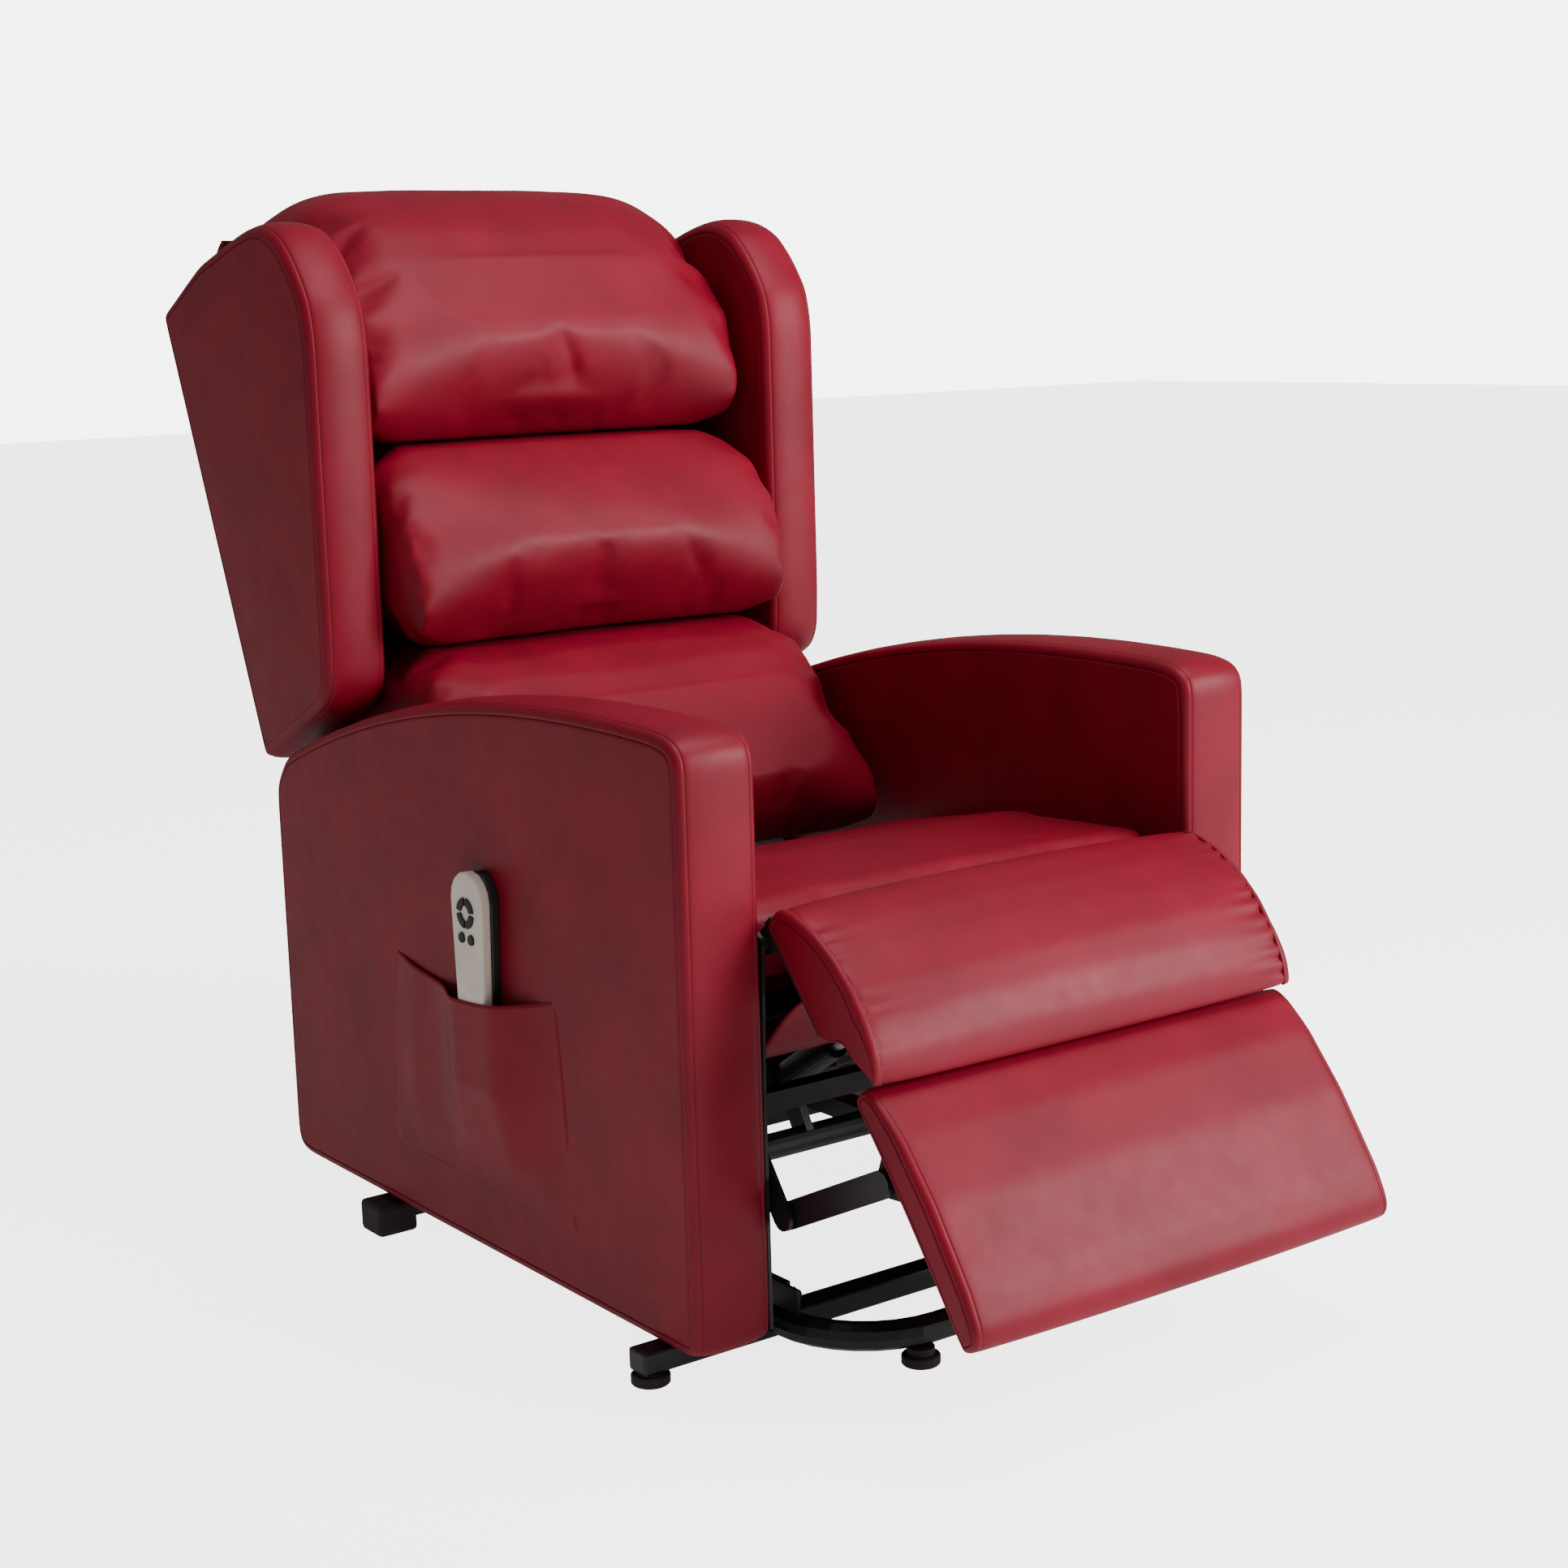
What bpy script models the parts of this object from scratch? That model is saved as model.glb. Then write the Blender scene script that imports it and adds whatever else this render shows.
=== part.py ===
"""Lift recliner chair: a tubular base, a lifting seat carriage, a reclining winged back,
a two-pad leg rest on folding links, three linear actuators and a handset in a side pocket.

Metres, +Z up. The chair faces -Y and +X is on the right of someone looking at its front.
Side profiles are written as (forward, height) pairs: forward is measured from the chair's
middle towards the sitter's feet, so forward = -y.
"""
import math

import bmesh
import bpy
from mathutils import Matrix, Vector

for old in list(bpy.data.objects):
    bpy.data.objects.remove(old, do_unlink=True)

# ---- Driving dimensions -----------------------------------------------------------------
GAP = 0.0003                  # between two pieces that touch
RUN = 0.0010                  # between two pieces that slide or turn past each other
SOFT_GAP = 0.0020             # between a cushion and what it meets

OVERALL_WIDTH = 0.750         # over the armrests
ARM_THICKNESS = 0.0915
ARM_FRONT = 0.446
ARM_REAR = -0.426
ARM_BOTTOM = 0.040
ARM_HEIGHT = 0.6427           # of the arch above the reference line

WING_INNER = OVERALL_WIDTH / 2 - 0.097
WING_THICKNESS = 0.080
BACK_CUSHION_HALF = WING_INNER - 0.006

SEAT_TOP_FRONT = 0.472
SEAT_TOP_REAR = 0.424
SEAT_FRONT = 0.400
SEAT_REAR = -0.022
PLATFORM_TOP = 0.345
PLATFORM_THICKNESS = 0.015
PLATFORM_FRONT = 0.325

BASE_HALF_SPAN = OVERALL_WIDTH / 2 + 0.020    # to the outer ends of the cross rails
RAIL_HEIGHT = 0.024
RAIL_DEPTH = 0.030
FOOT_HEIGHT = 0.0135
FRONT_RAIL_AT = 0.365
REAR_RAIL_AT = -0.198
TUBE_RADIUS = 0.015
TUBE_FRONT = 0.500
TUBE_HEIGHT = 0.034
TUBE_HALF_SPAN = OVERALL_WIDTH / 2 - 0.140

PLATE = 0.004                 # steel side plates
LINK_THICK = 0.005
LINK_HALF_WIDTH = 0.014

# ---- Pivots, as (forward, height) -------------------------------------------------------
LIFT_REAR_BASE = (0.120, 0.110)
LIFT_FRONT_BASE = (0.278, 0.110)
LIFT_REAR_SEAT = (-0.330, 0.120)
LIFT_FRONT_SEAT = (0.020, 0.120)
LIFT_CRANK = 0.075
LIFT_CRANK_ANGLE = 118.6
LIFT_MOTOR_PIVOT = (-0.185, 0.085)

BACK_PIVOT = (-0.250, 0.330)
BACK_CRANK = 0.090
BACK_CRANK_ANGLE = -103.0

LEG_PIVOT = (0.334, 0.330)
LEG_SWING_LENGTH = 0.1976
LEG_SWING_ANGLE = -54.35
LEG_REACH_LENGTH = 0.1622
LEG_REACH_ANGLE = 25.64
LEG_BRACKET_ALONG = 0.0826
LEG_BRACKET_BEHIND = 0.024
LEG_ANGLE = 53.0              # of the lower pad below horizontal
LEG_LENGTH = 0.265

THIGH_PIVOT = (0.425, 0.440)
THIGH_ANGLE = 49.5            # of the upper pad below horizontal
THIGH_CRANK = 0.065
THIGH_CRANK_ANGLE = -72.0

CROSS_TUBE = (0.120, 0.200)    # carries the anchors of the back and leg motors
BACK_MOTOR_PIVOT = (0.120, 0.240)
LEG_MOTOR_PIVOT = (0.120, 0.165)

# ---- Layers across the chair, from the armrest inwards (distances from the centre plane) -
HALF_WIDTH = OVERALL_WIDTH / 2
ARM_INNER = HALF_WIDTH - ARM_THICKNESS
SIDE_PLATE_OUT = ARM_INNER - RUN
SIDE_PLATE_IN = SIDE_PLATE_OUT - PLATE
LAYER_1_OUT = SIDE_PLATE_IN - 0.0035
LAYER_1_IN = LAYER_1_OUT - LINK_THICK
LAYER_2_OUT = LAYER_1_IN - 0.0030
LAYER_2_IN = LAYER_2_OUT - LINK_THICK
LAYER_3_OUT = LAYER_2_IN - 0.0030
LAYER_3_IN = LAYER_3_OUT - LINK_THICK
FRONT_ARM_OUT = LAYER_3_IN - RUN
FRONT_ARM_IN = FRONT_ARM_OUT - 0.006
LIFT_ARM_OUT = FRONT_ARM_IN - RUN
LIFT_ARM_IN = LIFT_ARM_OUT - 0.008
BASE_PLATE_OUT = LIFT_ARM_IN - RUN
BASE_PLATE_IN = BASE_PLATE_OUT - PLATE
PAD_HALF = SIDE_PLATE_IN - 0.0030

# ---- Collection -------------------------------------------------------------------------
parts = bpy.data.collections.new("lift_recliner_chair")
bpy.context.scene.collection.children.link(parts)


# ---- Materials --------------------------------------------------------------------------
def material(name, colour, roughness, metallic=0.0):
    made = bpy.data.materials.new(name)
    made.use_nodes = True
    shader = made.node_tree.nodes["Principled BSDF"]
    shader.inputs["Base Color"].default_value = (*colour, 1.0)
    shader.inputs["Roughness"].default_value = roughness
    shader.inputs["Metallic"].default_value = metallic
    return made


FAUX_LEATHER = material("burgundy_faux_leather", (0.27, 0.012, 0.026), 0.45)
BLACK_STEEL = material("black_painted_steel", (0.012, 0.012, 0.014), 0.35, 0.2)
ZINC = material("zinc_plated_steel", (0.5, 0.5, 0.5), 0.35, 1.0)
WOOD = material("plywood", (0.42, 0.27, 0.13), 0.7)
BLACK_PLASTIC = material("black_plastic", (0.015, 0.015, 0.016), 0.5)
CREAM_PLASTIC = material("cream_plastic", (0.80, 0.72, 0.60), 0.4)
RUBBER = material("brown_rubber", (0.035, 0.022, 0.02), 0.8)


# ---- Shape helpers ----------------------------------------------------------------------
def world(forward, height, across=0.0):
    """A world point from a side-profile point and a distance across the chair."""
    return Vector((across, -forward, height))


def polar(origin, length, degrees):
    """The side-profile point at a length and an angle (0 forward, 90 up) from origin."""
    angle = math.radians(degrees)
    return (origin[0] + length * math.cos(angle), origin[1] + length * math.sin(angle))


def add(name, mesh, finish=None):
    made = bpy.data.objects.new(name, mesh)
    parts.objects.link(made)
    if finish:
        mesh.materials.clear()
        mesh.materials.append(finish)
    return made


def evaluated_mesh(thing):
    """A plain mesh of an object as its curve and modifiers leave it, in world space."""
    bpy.context.view_layer.update()
    seen = thing.evaluated_get(bpy.context.evaluated_depsgraph_get())
    mesh = bpy.data.meshes.new_from_object(seen)
    mesh.transform(thing.matrix_world)
    return mesh


def weld(mesh):
    work = bmesh.new()
    work.from_mesh(mesh)
    bmesh.ops.remove_doubles(work, verts=work.verts, dist=0.00002)
    bmesh.ops.recalc_face_normals(work, faces=work.faces)
    work.to_mesh(mesh)
    work.free()
    return mesh


def bake(thing, name=None, finish=None):
    """Replaces an object by a plain mesh object in the parts collection."""
    mesh = weld(evaluated_mesh(thing))
    kept = name or thing.name
    bpy.data.objects.remove(thing, do_unlink=True)
    return add(kept, mesh, finish)


def shade(thing, angle=35):
    thing.data.shade_smooth()
    thing.data.set_sharp_from_angle(angle=math.radians(angle))
    return thing


def bevel(thing, width, segments=2):
    rounding = thing.modifiers.new("rounding", "BEVEL")
    rounding.width = width
    rounding.segments = segments
    rounding.limit_method = "ANGLE"
    rounding.angle_limit = math.radians(28)
    return thing


def prism(name, outline, inside, outside, finish=None, rounding=0.0, segments=2):
    """A flat outline in the side plane, extruded across the chair from inside to outside."""
    curve = bpy.data.curves.new(name, "CURVE")
    curve.dimensions = "2D"
    curve.fill_mode = "BOTH"
    curve.extrude = abs(outside - inside) / 2
    line = curve.splines.new("POLY")
    line.points.add(len(outline) - 1)
    for point, (forward, height) in zip(line.points, outline):
        point.co = (forward, height, 0.0, 1.0)
    line.use_cyclic_u = True
    flat = bpy.data.objects.new(name, curve)
    parts.objects.link(flat)
    # local x runs forward (-Y), local y runs up, local z runs towards -X
    turn = Matrix(((0, 0, -1), (-1, 0, 0), (0, 1, 0))).to_4x4()
    middle = (inside + outside) / 2
    flat.matrix_world = Matrix.Translation(world(0.0, 0.0, middle)) @ turn
    made = bake(flat, name, finish)
    if rounding:
        bevel(made, rounding, segments)
        made = bake(made, name, finish)
    return shade(made)


def box(name, low, high, finish=None, rounding=0.0, segments=2):
    """A block between two (across, forward, height) corners."""
    a = world(low[1], low[2], low[0])
    b = world(high[1], high[2], high[0])
    work = bmesh.new()
    bmesh.ops.create_cube(work, size=1.0)
    size = Vector((abs(b.x - a.x), abs(b.y - a.y), abs(b.z - a.z)))
    bmesh.ops.scale(work, vec=size, verts=work.verts)
    bmesh.ops.translate(work, vec=(a + b) / 2, verts=work.verts)
    mesh = bpy.data.meshes.new(name)
    work.to_mesh(mesh)
    work.free()
    made = add(name, mesh, finish)
    if rounding:
        bevel(made, rounding, segments)
        made = bake(made, name, finish)
    return shade(made)


def cylinder(name, start, end, radius, finish=None, sides=20, rounding=0.0, end_radius=None):
    """A round bar between two world points."""
    axis = end - start
    work = bmesh.new()
    tip = radius if end_radius is None else end_radius
    bmesh.ops.create_cone(work, cap_ends=True, segments=sides, radius1=radius,
                          radius2=tip, depth=axis.length)
    turn = axis.to_track_quat("Z", "Y").to_matrix().to_4x4()
    bmesh.ops.transform(work, matrix=Matrix.Translation((start + end) / 2) @ turn,
                        verts=work.verts)
    mesh = bpy.data.meshes.new(name)
    work.to_mesh(mesh)
    work.free()
    made = add(name, mesh, finish)
    if rounding:
        bevel(made, rounding, 1)
        made = bake(made, name, finish)
    return shade(made)


def pin(pivot, inside, outside, radius=0.008, sides=12):
    """A short round bar across the chair at a side-profile pivot."""
    start = world(*pivot, inside)
    end = world(*pivot, outside)
    return cylinder("pin", start, end, radius, sides=sides)


def tube(name, route, radius, finish, sides=3):
    """A round tube along world points, with closed ends."""
    curve = bpy.data.curves.new(name, "CURVE")
    curve.dimensions = "3D"
    curve.bevel_depth = radius
    curve.bevel_resolution = sides
    curve.use_fill_caps = True
    line = curve.splines.new("POLY")
    line.points.add(len(route) - 1)
    for point, place in zip(line.points, route):
        point.co = (*place, 1.0)
    made = bpy.data.objects.new(name, curve)
    parts.objects.link(made)
    return shade(bake(made, name, finish))


def combine(target, others, operation="UNION"):
    """Joins others to target, or cuts them from it, and leaves one plain mesh object."""
    name = target.name
    finish = target.data.materials[0] if target.data.materials else None
    for other in others:
        step = target.modifiers.new(operation.lower(), "BOOLEAN")
        step.operation = operation
        step.solver = "EXACT"
        step.object = other
    mesh = evaluated_mesh(target)
    for thing in [target, *others]:
        bpy.data.objects.remove(thing, do_unlink=True)
    work = bmesh.new()
    work.from_mesh(mesh)
    bmesh.ops.remove_doubles(work, verts=work.verts, dist=0.00002)
    bmesh.ops.dissolve_limit(work, angle_limit=math.radians(0.05), verts=work.verts,
                             edges=work.edges)
    bmesh.ops.triangulate(work, faces=work.faces)
    work.to_mesh(mesh)
    work.free()
    return shade(add(name, mesh, finish))


def mirrored(thing, name):
    """A copy of an object on the other side of the chair."""
    mesh = thing.data.copy()
    mesh.transform(Matrix.Diagonal((-1, 1, 1, 1)))
    mesh.flip_normals()
    return shade(add(name, mesh))


def pair(thing, stem):
    """Names an object made at +X as the right one and adds its left-hand mirror image.

    Left is at -X, the side that holds the handset pocket.
    """
    thing.name = stem + "_right"
    mirrored(thing, stem + "_left")


def arc(centre, radius, start, end, steps):
    """Side-profile points round an arc, both ends included."""
    points = []
    for step in range(steps + 1):
        points.append(polar(centre, radius, start + (end - start) * step / steps))
    return points


def bar_outline(first, second, half_width, steps=6):
    """A flat bar with round ends between two pivots."""
    heading = math.degrees(math.atan2(second[1] - first[1], second[0] - first[0]))
    outline = arc(second, half_width, heading - 90, heading + 90, steps)
    outline += arc(first, half_width, heading + 90, heading + 270, steps)
    return outline


def along(origin, below_horizontal, offsets):
    """Side-profile points from (distance along, distance out) on a sloping pad."""
    angle = math.radians(below_horizontal)
    run = (math.cos(angle), -math.sin(angle))
    out = (math.sin(angle), math.cos(angle))
    return [(origin[0] + s * run[0] + h * out[0], origin[1] + s * run[1] + h * out[1])
            for s, h in offsets]


# ---- Base frame -------------------------------------------------------------------------
RAIL_BOTTOM = FOOT_HEIGHT
RAIL_TOP = RAIL_BOTTOM + RAIL_HEIGHT
FOOT_RADIUS = 0.020
FOOT_INSET = 0.016            # of an outer foot's centre from the rail's end
REAR_FOOT_WIDTH = 0.050
SIDE_RAIL_TOP = 0.062
SIDE_RAIL_REAR = -0.330
SIDE_RAIL_IN = OVERALL_WIDTH / 2 - 0.170
TUBE_BEND = 0.110
TUBE_FOOT_ACROSS = 0.144


def round_foot(name, across, forward, top):
    """A screw-in glide: a wide rubber disc under a narrower neck."""
    disc_top = min(top, 0.011)
    foot = cylinder(name, world(forward, 0.0, across), world(forward, disc_top, across),
                    FOOT_RADIUS, RUBBER, sides=20, rounding=0.0015)
    neck = cylinder("neck", world(forward, disc_top - 0.002, across),
                    world(forward, top, across), FOOT_RADIUS * 0.72, sides=16)
    return combine(foot, [neck])


def base_frame():
    front_low = FRONT_RAIL_AT - RAIL_DEPTH / 2
    front_high = FRONT_RAIL_AT + RAIL_DEPTH / 2
    box("base_front_rail", (-BASE_HALF_SPAN, front_low, RAIL_BOTTOM),
        (BASE_HALF_SPAN, front_high, RAIL_TOP), BLACK_STEEL, rounding=0.003)
    rear_end = BASE_HALF_SPAN - REAR_FOOT_WIDTH - GAP
    box("base_rear_rail", (-rear_end, REAR_RAIL_AT - RAIL_DEPTH / 2, RAIL_BOTTOM),
        (rear_end, REAR_RAIL_AT + RAIL_DEPTH / 2, RAIL_TOP), BLACK_STEEL, rounding=0.003)

    # The front tube leaves the front rail, bends and crosses ahead of it.
    start = front_high + GAP
    route = [world(start, TUBE_HEIGHT, -TUBE_HALF_SPAN)]
    centre_across = TUBE_HALF_SPAN - TUBE_BEND
    centre_forward = TUBE_FRONT - TUBE_BEND
    for side in (-1, 1):
        bend = []
        for step in range(9):
            angle = math.radians(90 * step / 8)
            bend.append(world(centre_forward + TUBE_BEND * math.sin(angle), TUBE_HEIGHT,
                              side * (centre_across + TUBE_BEND * math.cos(angle))))
        route += bend if side < 0 else bend[::-1]
    route.append(world(start, TUBE_HEIGHT, TUBE_HALF_SPAN))
    tube("base_front_tube", route, TUBE_RADIUS, BLACK_STEEL, sides=3)

    # A floor rail on each side, with the upright plate that carries the lift pivots.
    over_tube = TUBE_HEIGHT + TUBE_RADIUS + GAP
    outline = [(SIDE_RAIL_REAR, RAIL_TOP + GAP), (front_high - 0.002, RAIL_TOP + GAP),
               (front_high - 0.002, over_tube), (0.420, over_tube), (0.420, 0.076),
               (0.335, 0.076), (0.320, 0.100)]
    outline += arc(LIFT_FRONT_BASE, 0.021, 10, 90, 3)
    outline += arc(LIFT_REAR_BASE, 0.021, 90, 170, 3)
    outline += [(0.060, SIDE_RAIL_TOP), (SIDE_RAIL_REAR, SIDE_RAIL_TOP)]
    upright = prism("base_side_frame", outline, BASE_PLATE_IN, BASE_PLATE_OUT, BLACK_STEEL)
    rail = box("rail", (SIDE_RAIL_IN, SIDE_RAIL_REAR, RAIL_TOP + GAP),
               (BASE_PLATE_OUT - 0.001, FRONT_RAIL_AT, SIDE_RAIL_TOP))
    nut = pin((0.400, 0.063), BASE_PLATE_IN - 0.008, BASE_PLATE_IN + 0.002, 0.009, 6)
    stud = pin((0.400, 0.063), BASE_PLATE_IN - 0.014, BASE_PLATE_IN - 0.007, 0.004, 10)
    pair(combine(upright, [rail, nut, stud]), "base_side_frame")

    for side, word in ((1, "right"), (-1, "left")):
        outer = side * (BASE_HALF_SPAN - FOOT_INSET)
        round_foot("front_foot_" + word, outer, FRONT_RAIL_AT, FOOT_HEIGHT - GAP)
        round_foot("front_tube_foot_" + word, side * TUBE_FOOT_ACROSS, TUBE_FRONT,
                   TUBE_HEIGHT - TUBE_RADIUS - GAP)
    inner = BASE_HALF_SPAN - REAR_FOOT_WIDTH
    block = box("rear_foot", (inner, REAR_RAIL_AT - REAR_FOOT_WIDTH / 2, 0.0),
                (BASE_HALF_SPAN, REAR_RAIL_AT + REAR_FOOT_WIDTH / 2, RAIL_TOP), RUBBER,
                rounding=0.006)
    pair(block, "rear_foot")


# ---- Lift linkage -----------------------------------------------------------------------
def lift_linkage():
    reach = SIDE_PLATE_IN - 0.0006
    rear = prism("rear_lift_arm", bar_outline(LIFT_REAR_BASE, LIFT_REAR_SEAT, 0.016),
                 LIFT_ARM_IN, LIFT_ARM_OUT, BLACK_STEEL)
    spacer = pin(LIFT_REAR_SEAT, LIFT_ARM_OUT - 0.002, reach, 0.011)
    head = pin(LIFT_REAR_SEAT, LIFT_ARM_IN - 0.005, LIFT_ARM_IN + 0.002, 0.009, 6)
    pair(combine(rear, [spacer, head]), "rear_lift_arm")

    front = prism("front_lift_arm", bar_outline(LIFT_FRONT_BASE, LIFT_FRONT_SEAT, 0.016),
                  FRONT_ARM_IN, FRONT_ARM_OUT, BLACK_STEEL)
    spacer = pin(LIFT_FRONT_SEAT, FRONT_ARM_OUT - 0.002, reach, 0.011)
    foot = pin(LIFT_FRONT_BASE, BASE_PLATE_OUT + 0.0006, FRONT_ARM_IN + 0.002, 0.011)
    pair(combine(front, [spacer, foot]), "front_lift_arm")

    # The torque tube turns on the rear pivots and carries the lift motor's crank.
    end = BASE_PLATE_IN - RUN
    shaft = cylinder("lift_torque_tube", world(*LIFT_REAR_BASE, -end),
                     world(*LIFT_REAR_BASE, end), 0.015, BLACK_STEEL, sides=16)
    crank_pin = polar(LIFT_REAR_BASE, LIFT_CRANK, LIFT_CRANK_ANGLE)
    crank = prism("crank", bar_outline(LIFT_REAR_BASE, crank_pin, 0.014), -0.005, 0.005)
    combine(shaft, [crank])


# ---- Actuators --------------------------------------------------------------------------
MOTOR_HALF = 0.019
ROD_RADIUS = 0.010
FORK_GAP = 0.0012
FORK_TINE = 0.005
FORK_DEPTH = 0.038            # of the slot, behind the crank pin
CRANK_HALF = 0.005
BACK_MOTOR_ACROSS = 0.110
LEG_MOTOR_ACROSS = -0.080


def actuator(stem, anchor, crank_pin, across, sleeve_end, rod_start, motor_side=-1):
    """A motor housing on its anchor pivot and the rod that slides in it to a crank.

    sleeve_end and rod_start are distances from the anchor, with the rod as stored.
    """
    span = Vector((crank_pin[0] - anchor[0], crank_pin[1] - anchor[1]))
    length = span.length
    heading = math.degrees(math.atan2(span.y, span.x))
    run = (math.cos(math.radians(heading)), math.sin(math.radians(heading)))

    def at(distance, aside=0.0):
        return (anchor[0] + distance * run[0] - aside * run[1],
                anchor[1] + distance * run[1] + aside * run[0])

    rod_bore = ROD_RADIUS + RUN
    eye = prism(stem + "_actuator_housing", bar_outline(anchor, at(0.045), 0.013),
                across - CRANK_HALF, across + CRANK_HALF, BLACK_PLASTIC)
    gearbox = prism("gearbox", [at(0.036, -MOTOR_HALF), at(0.095, -MOTOR_HALF),
                                at(0.095, MOTOR_HALF), at(0.036, MOTOR_HALF)],
                    across - MOTOR_HALF, across + MOTOR_HALF, rounding=0.004)
    sleeve = cylinder("sleeve", world(*at(0.090), across), world(*at(sleeve_end), across),
                      0.0165, sides=20)
    motor = cylinder("motor", world(*at(0.066), across + motor_side * 0.010),
                     world(*at(0.066), across + motor_side * 0.075), 0.0185, sides=20)
    housing = combine(eye, [gearbox, sleeve, motor])
    bore = cylinder("bore", world(*at(0.105), across), world(*at(sleeve_end + 0.010), across),
                    rod_bore, sides=20)
    combine(housing, [bore], "DIFFERENCE")

    rod = cylinder(stem + "_actuator_rod", world(*at(rod_start), across),
                   world(*at(length - FORK_DEPTH - 0.008), across), ROD_RADIUS, ZINC, sides=16)
    outer = CRANK_HALF + FORK_GAP + FORK_TINE
    fork = prism("fork", bar_outline(at(length - FORK_DEPTH - 0.008), crank_pin, 0.012),
                 across - outer, across + outer)
    root = length - FORK_DEPTH
    slot = prism("slot", [at(root, -0.03), at(length + 0.04, -0.03),
                          at(length + 0.04, 0.03), at(root, 0.03)],
                 across - CRANK_HALF - FORK_GAP, across + CRANK_HALF + FORK_GAP)
    fork = combine(fork, [slot], "DIFFERENCE")
    combine(rod, [fork])


def anchor_lugs(pivot, foot, across):
    """Two plates either side of an actuator's eye, from a mounting point to its pivot."""
    lugs = []
    for side in (-1, 1):
        near = across + side * (CRANK_HALF + FORK_GAP)
        far = near + side * 0.004
        lugs.append(prism("lug", bar_outline(foot, pivot, 0.013), near, far))
    return lugs


# ---- Seat carriage ----------------------------------------------------------------------
def seat_carriage():
    outline = [(-0.352, 0.128)]
    outline += arc(LIFT_REAR_SEAT, 0.022, 180, 340, 6)
    outline += [(-0.262, 0.186), (-0.048, 0.188)]
    outline += arc(LIFT_FRONT_SEAT, 0.022, 200, 340, 6)
    outline += [(0.085, 0.196), (0.290, 0.220), (0.386, 0.220), (0.390, 0.052),
                (0.436, 0.052), (0.436, 0.300)]
    outline += arc(THIGH_PIVOT, 0.016, -20, 150, 6)
    outline += [(0.392, 0.380), (0.370, 0.352), (-0.140, 0.352)]
    outline += arc(BACK_PIVOT, 0.026, 60, 200, 5)
    plate = prism("seat_side_plate", outline, SIDE_PLATE_IN, SIDE_PLATE_OUT, BLACK_STEEL)
    nuts = []
    for place in ((0.413, 0.088), (0.413, 0.180), (0.150, 0.300), (-0.100, 0.250)):
        nuts.append(pin(place, SIDE_PLATE_IN - 0.0024, SIDE_PLATE_IN + 0.002, 0.007, 6))
    pair(combine(plate, nuts), "seat_side_plate")

    end = SIDE_PLATE_IN - GAP
    box("seat_front_rail", (-end, 0.220, 0.288), (end, 0.250, 0.318), BLACK_STEEL,
        rounding=0.003)
    box("seat_rear_rail", (-end, -0.118, 0.288), (end, -0.088, 0.318), BLACK_STEEL,
        rounding=0.003)
    cross = cylinder("seat_cross_tube", world(*CROSS_TUBE, -end),
                     world(*CROSS_TUBE, end), 0.014, BLACK_STEEL, sides=16)
    lugs = []
    lugs += anchor_lugs(BACK_MOTOR_PIVOT, CROSS_TUBE, BACK_MOTOR_ACROSS)
    lugs += anchor_lugs(LEG_MOTOR_PIVOT, CROSS_TUBE, LEG_MOTOR_ACROSS)
    combine(cross, lugs)

    # A board under the cushion, with a rail hung below its front edge.
    platform_half = LAYER_3_IN - 0.002
    board = box("seat_platform", (-platform_half, -0.060, PLATFORM_TOP - PLATFORM_THICKNESS),
                (platform_half, PLATFORM_FRONT, PLATFORM_TOP), WOOD)
    hung = box("hung", (-platform_half, PLATFORM_FRONT - 0.024, 0.228),
               (platform_half, PLATFORM_FRONT - 0.002, 0.250))
    uprights = []
    for side in (-1, 1):
        across = sorted((side * platform_half, side * (platform_half - 0.016)))
        uprights.append(box("upright", (across[0], PLATFORM_FRONT - 0.023, 0.240),
                            (across[1], PLATFORM_FRONT - 0.003,
                             PLATFORM_TOP - PLATFORM_THICKNESS / 2)))
    combine(board, [hung, *uprights])

    cushion_half = SIDE_PLATE_IN - SOFT_GAP
    low = PLATFORM_TOP + SOFT_GAP
    prism("seat_cushion", [(SEAT_FRONT, low + 0.045), (SEAT_FRONT, SEAT_TOP_FRONT - 0.012),
                           (SEAT_FRONT - 0.012, SEAT_TOP_FRONT),
                           (0.20, SEAT_TOP_FRONT - 0.004), (SEAT_REAR, SEAT_TOP_REAR),
                           (SEAT_REAR, low + 0.008), (PLATFORM_FRONT + 0.006, low + 0.008),
                           (PLATFORM_FRONT + 0.010, low + 0.045)],
          -cushion_half, cushion_half, FAUX_LEATHER, rounding=0.006)
    box("control_box", (-0.215, -0.075, 0.262), (-0.135, 0.075, 0.300 - RUN), BLACK_PLASTIC,
        rounding=0.004)


def arm_arch(forward):
    """Height of the armrest's crowned top edge."""
    y = -forward
    return ARM_HEIGHT - 0.1396 * y - 0.2856 * y ** 2 - 0.0862 * y ** 3


def armrests():
    outline = arc((ARM_FRONT - 0.010, ARM_BOTTOM + 0.010), 0.010, -90, 0, 2)
    outline += arc((ARM_FRONT - 0.024, arm_arch(ARM_FRONT) - 0.026), 0.024, 0, 80, 4)
    steps = 12
    first = ARM_FRONT - 0.045
    last = ARM_REAR + 0.030
    for step in range(steps + 1):
        forward = first + (last - first) * step / steps
        outline.append((forward, arm_arch(forward)))
    outline += arc((ARM_REAR + 0.030, arm_arch(ARM_REAR) - 0.034), 0.030, 120, 180, 3)
    outline += arc((ARM_REAR + 0.024, ARM_BOTTOM + 0.024), 0.024, 180, 270, 3)
    arm = prism("armrest", outline, ARM_INNER, HALF_WIDTH, FAUX_LEATHER, rounding=0.009)
    pair(arm, "armrest")


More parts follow.
